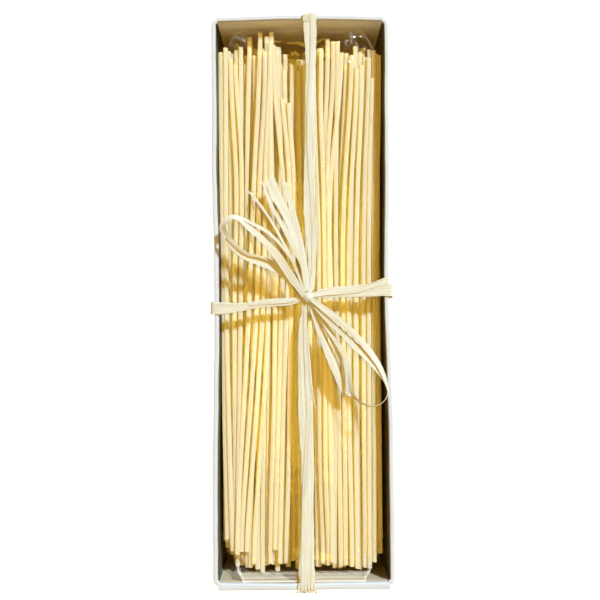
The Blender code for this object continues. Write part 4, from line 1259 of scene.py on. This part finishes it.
class PackSettings(bpy.types.PropertyGroup):
    """The sizes and colours that a user would change."""
    strand_diameter: FloatProperty(name="Strand diameter", description="Thickness of one strand",
                                   default=0.00246, unit='LENGTH', subtype='DISTANCE')
    seed: IntProperty(name="Seed", description="Changes how the hidden strands lie", default=4)
    pasta_pale: colour_of("Pasta, pale", "Body of a pale strand", (0.99, 0.98, 0.87))
    pasta_gold: colour_of("Pasta, golden", "Body of a golden strand", (0.99, 0.92, 0.66))
    # Painted shade: the golden colour painted on the sides of a strand, away from its top
    pasta_side_shade: colour_of("Pasta, sides", "Sides of a strand, away from its top",
                          (0.99, 0.86, 0.46))
    pasta_flour: colour_of("Flour", "Floury bloom on the strands", (1.0, 1.0, 0.97))
    pasta_through: colour_of("Pasta, against the light", "Light that soaks through a strand",
                             (1.0, 0.86, 0.25))
    card_white: colour_of("Card, coated", "Outside of the tray", (0.51, 0.515, 0.54))
    card_brown: colour_of("Card, inside", "Uncoated inside of the tray", (0.50, 0.39, 0.24))
    # Painted light: the far wall's inside board, far paler than the same board elsewhere, so that
    # it shows bright though it stands in shade
    card_kraft: colour_of("Card, far wall", "Paler board at the far wall", (0.99, 0.82, 0.68))
    # Painted light: the far wall's turned-in flap, painted paler than the coated white itself
    card_flap: colour_of("Card, flap", "Flap turned in at the far wall", (0.99, 0.91, 0.88))
    raffia_pale: colour_of("Raffia, pale", "Pale fibres", (0.74, 0.79, 0.73))
    raffia_shade: colour_of("Raffia, shade", "Darker fibres", (0.56, 0.52, 0.38))
    raffia_gold: colour_of("Raffia, golden", "Golden fibres", (0.72, 0.68, 0.48))
    raffia_through: colour_of("Raffia, against the light", "Light that soaks through a strip",
                              (0.95, 0.68, 0.16))
    # This strength also scales the painted highlights along the film's fold lines and slanted edges
    haze_and_glint_strength: strength_of("Seal haze", "Whiteness of the crimped seals", 0.18, max=1.0,
                           subtype='FACTOR')
    floor_glow: strength_of("Floor glow", "Light given off by the floor", 0.95)
    sun_strength: strength_of("Key light", "Strength of the key light", 6.6)
    warm_strength: strength_of("Warm light", "Strength of the light from above", 1.75)
    near_strength: strength_of("Near light", "Strength of the low light from the near end", 0.5)
    fill_strength: strength_of("Fill light", "Strength of the light all round", 0.14)


class PACK_OT_stage(bpy.types.Operator):
    """Sets the pale floor, the lights and the camera"""
    bl_idname = "pack.stage"
    bl_label = "Stage"

    def execute(self, context):
        """Makes the stage."""
        scene, settings = context.scene, context.scene.spaghetti_pack
        make_floor(scene, floor_finish(settings))
        make_world(scene, settings.fill_strength)
        make_lights(scene, settings)
        make_camera(scene)
        scene.view_settings.view_transform = 'Standard'
        return {'FINISHED'}


class PACK_OT_tray(bpy.types.Operator):
    """Folds the white card tray: its floor and four double walls with rolled rims"""
    bl_idname = "pack.tray"
    bl_label = "Card Tray"

    def execute(self, context):
        """Makes the card's finishes and the tray."""
        settings = context.scene.spaghetti_pack
        coat = card_finish("card_coated", settings.card_white, 0.96, 0.12)
        inside = card_finish("card_uncoated", settings.card_brown, 0.8, 0.4)
        # The far wall's board and flap are painted paler than the same card elsewhere: painted
        # light
        paler = card_finish("card_kraft", settings.card_kraft, 0.9, 0.3)
        turned = card_finish("card_flap", settings.card_flap, 0.95, 0.2)
        # Painted shade: the side walls' insides are the inside board painted about four times
        # darker
        sides = card_finish("card_sides", darker(settings.card_brown, 0.26), 0.8, 0.4)
        make_tray(coat, inside, sides, paler, turned)
        return {'FINISHED'}


class PACK_OT_strands(bpy.types.Operator):
    """Lays the whole strands of spaghetti in the tray"""
    bl_idname = "pack.strands"
    bl_label = "Spaghetti"

    def execute(self, context):
        """Makes the strands."""
        settings = context.scene.spaghetti_pack
        build_spaghetti(pasta_finish(settings), settings)
        return {'FINISHED'}


class PACK_OT_film(bpy.types.Operator):
    """Wraps the clear sealed bag round the spaghetti"""
    bl_idname = "pack.film"
    bl_label = "Clear Film"

    def execute(self, context):
        """Makes the bag."""
        build_film(film_finish(context.scene.spaghetti_pack))
        return {'FINISHED'}


class PACK_OT_tie(bpy.types.Operator):
    """Ties the two raffia bands round the pack and knots them"""
    bl_idname = "pack.tie"
    bl_label = "Raffia Bands and Knot"

    def execute(self, context):
        """Makes the bands and the knot."""
        build_bands(raffia_finish(context.scene.spaghetti_pack))
        return {'FINISHED'}


class PACK_OT_bow(bpy.types.Operator):
    """Makes the bow's two loops and its loose tails"""
    bl_idname = "pack.bow"
    bl_label = "Raffia Bow"

    def execute(self, context):
        """Makes each loop and tail, of the bands' raffia where there is some."""
        material = bpy.data.materials.get("raffia_strip")
        material = material or raffia_finish(context.scene.spaghetti_pack)
        for part, strips in BOW.items():
            strips = [strip_points(rows, seed, **values) for rows, seed, values in strips]
            add_strips("bow_" + part, strips, material, "raffia_" + part)
        return {'FINISHED'}


class PACK_PT_sidebar(bpy.types.Panel):
    """Lists the pack's pieces and settings"""
    bl_label = "Spaghetti Pack"
    bl_idname = "PACK_PT_sidebar"
    bl_space_type = 'VIEW_3D'
    bl_region_type = 'UI'
    bl_category = "Pack"

    def draw(self, context):
        """Lists the operators, then the settings."""
        for operator in STEPS:
            self.layout.operator(operator.bl_idname)
        for name in PackSettings.__annotations__:
            self.layout.prop(context.scene.spaghetti_pack, name)


STEPS = (PACK_OT_stage, PACK_OT_tray, PACK_OT_strands, PACK_OT_film, PACK_OT_tie, PACK_OT_bow)
CLASSES = (PackSettings, *STEPS, PACK_PT_sidebar)


def register():
    """Makes the settings, operators and panel known."""
    for entry in CLASSES:
        bpy.utils.register_class(entry)
    bpy.types.Scene.spaghetti_pack = PointerProperty(type=PackSettings)


def unregister():
    """Takes the settings, operators and panel away again."""
    del bpy.types.Scene.spaghetti_pack
    for entry in reversed(CLASSES):
        bpy.utils.unregister_class(entry)


def main():
    """Builds the stage and every piece in order."""
    register()
    bpy.ops.pack.stage()
    bpy.ops.pack.tray()
    bpy.ops.pack.strands()
    bpy.ops.pack.film()
    bpy.ops.pack.tie()
    bpy.ops.pack.bow()


if __name__ == "__main__":
    main()
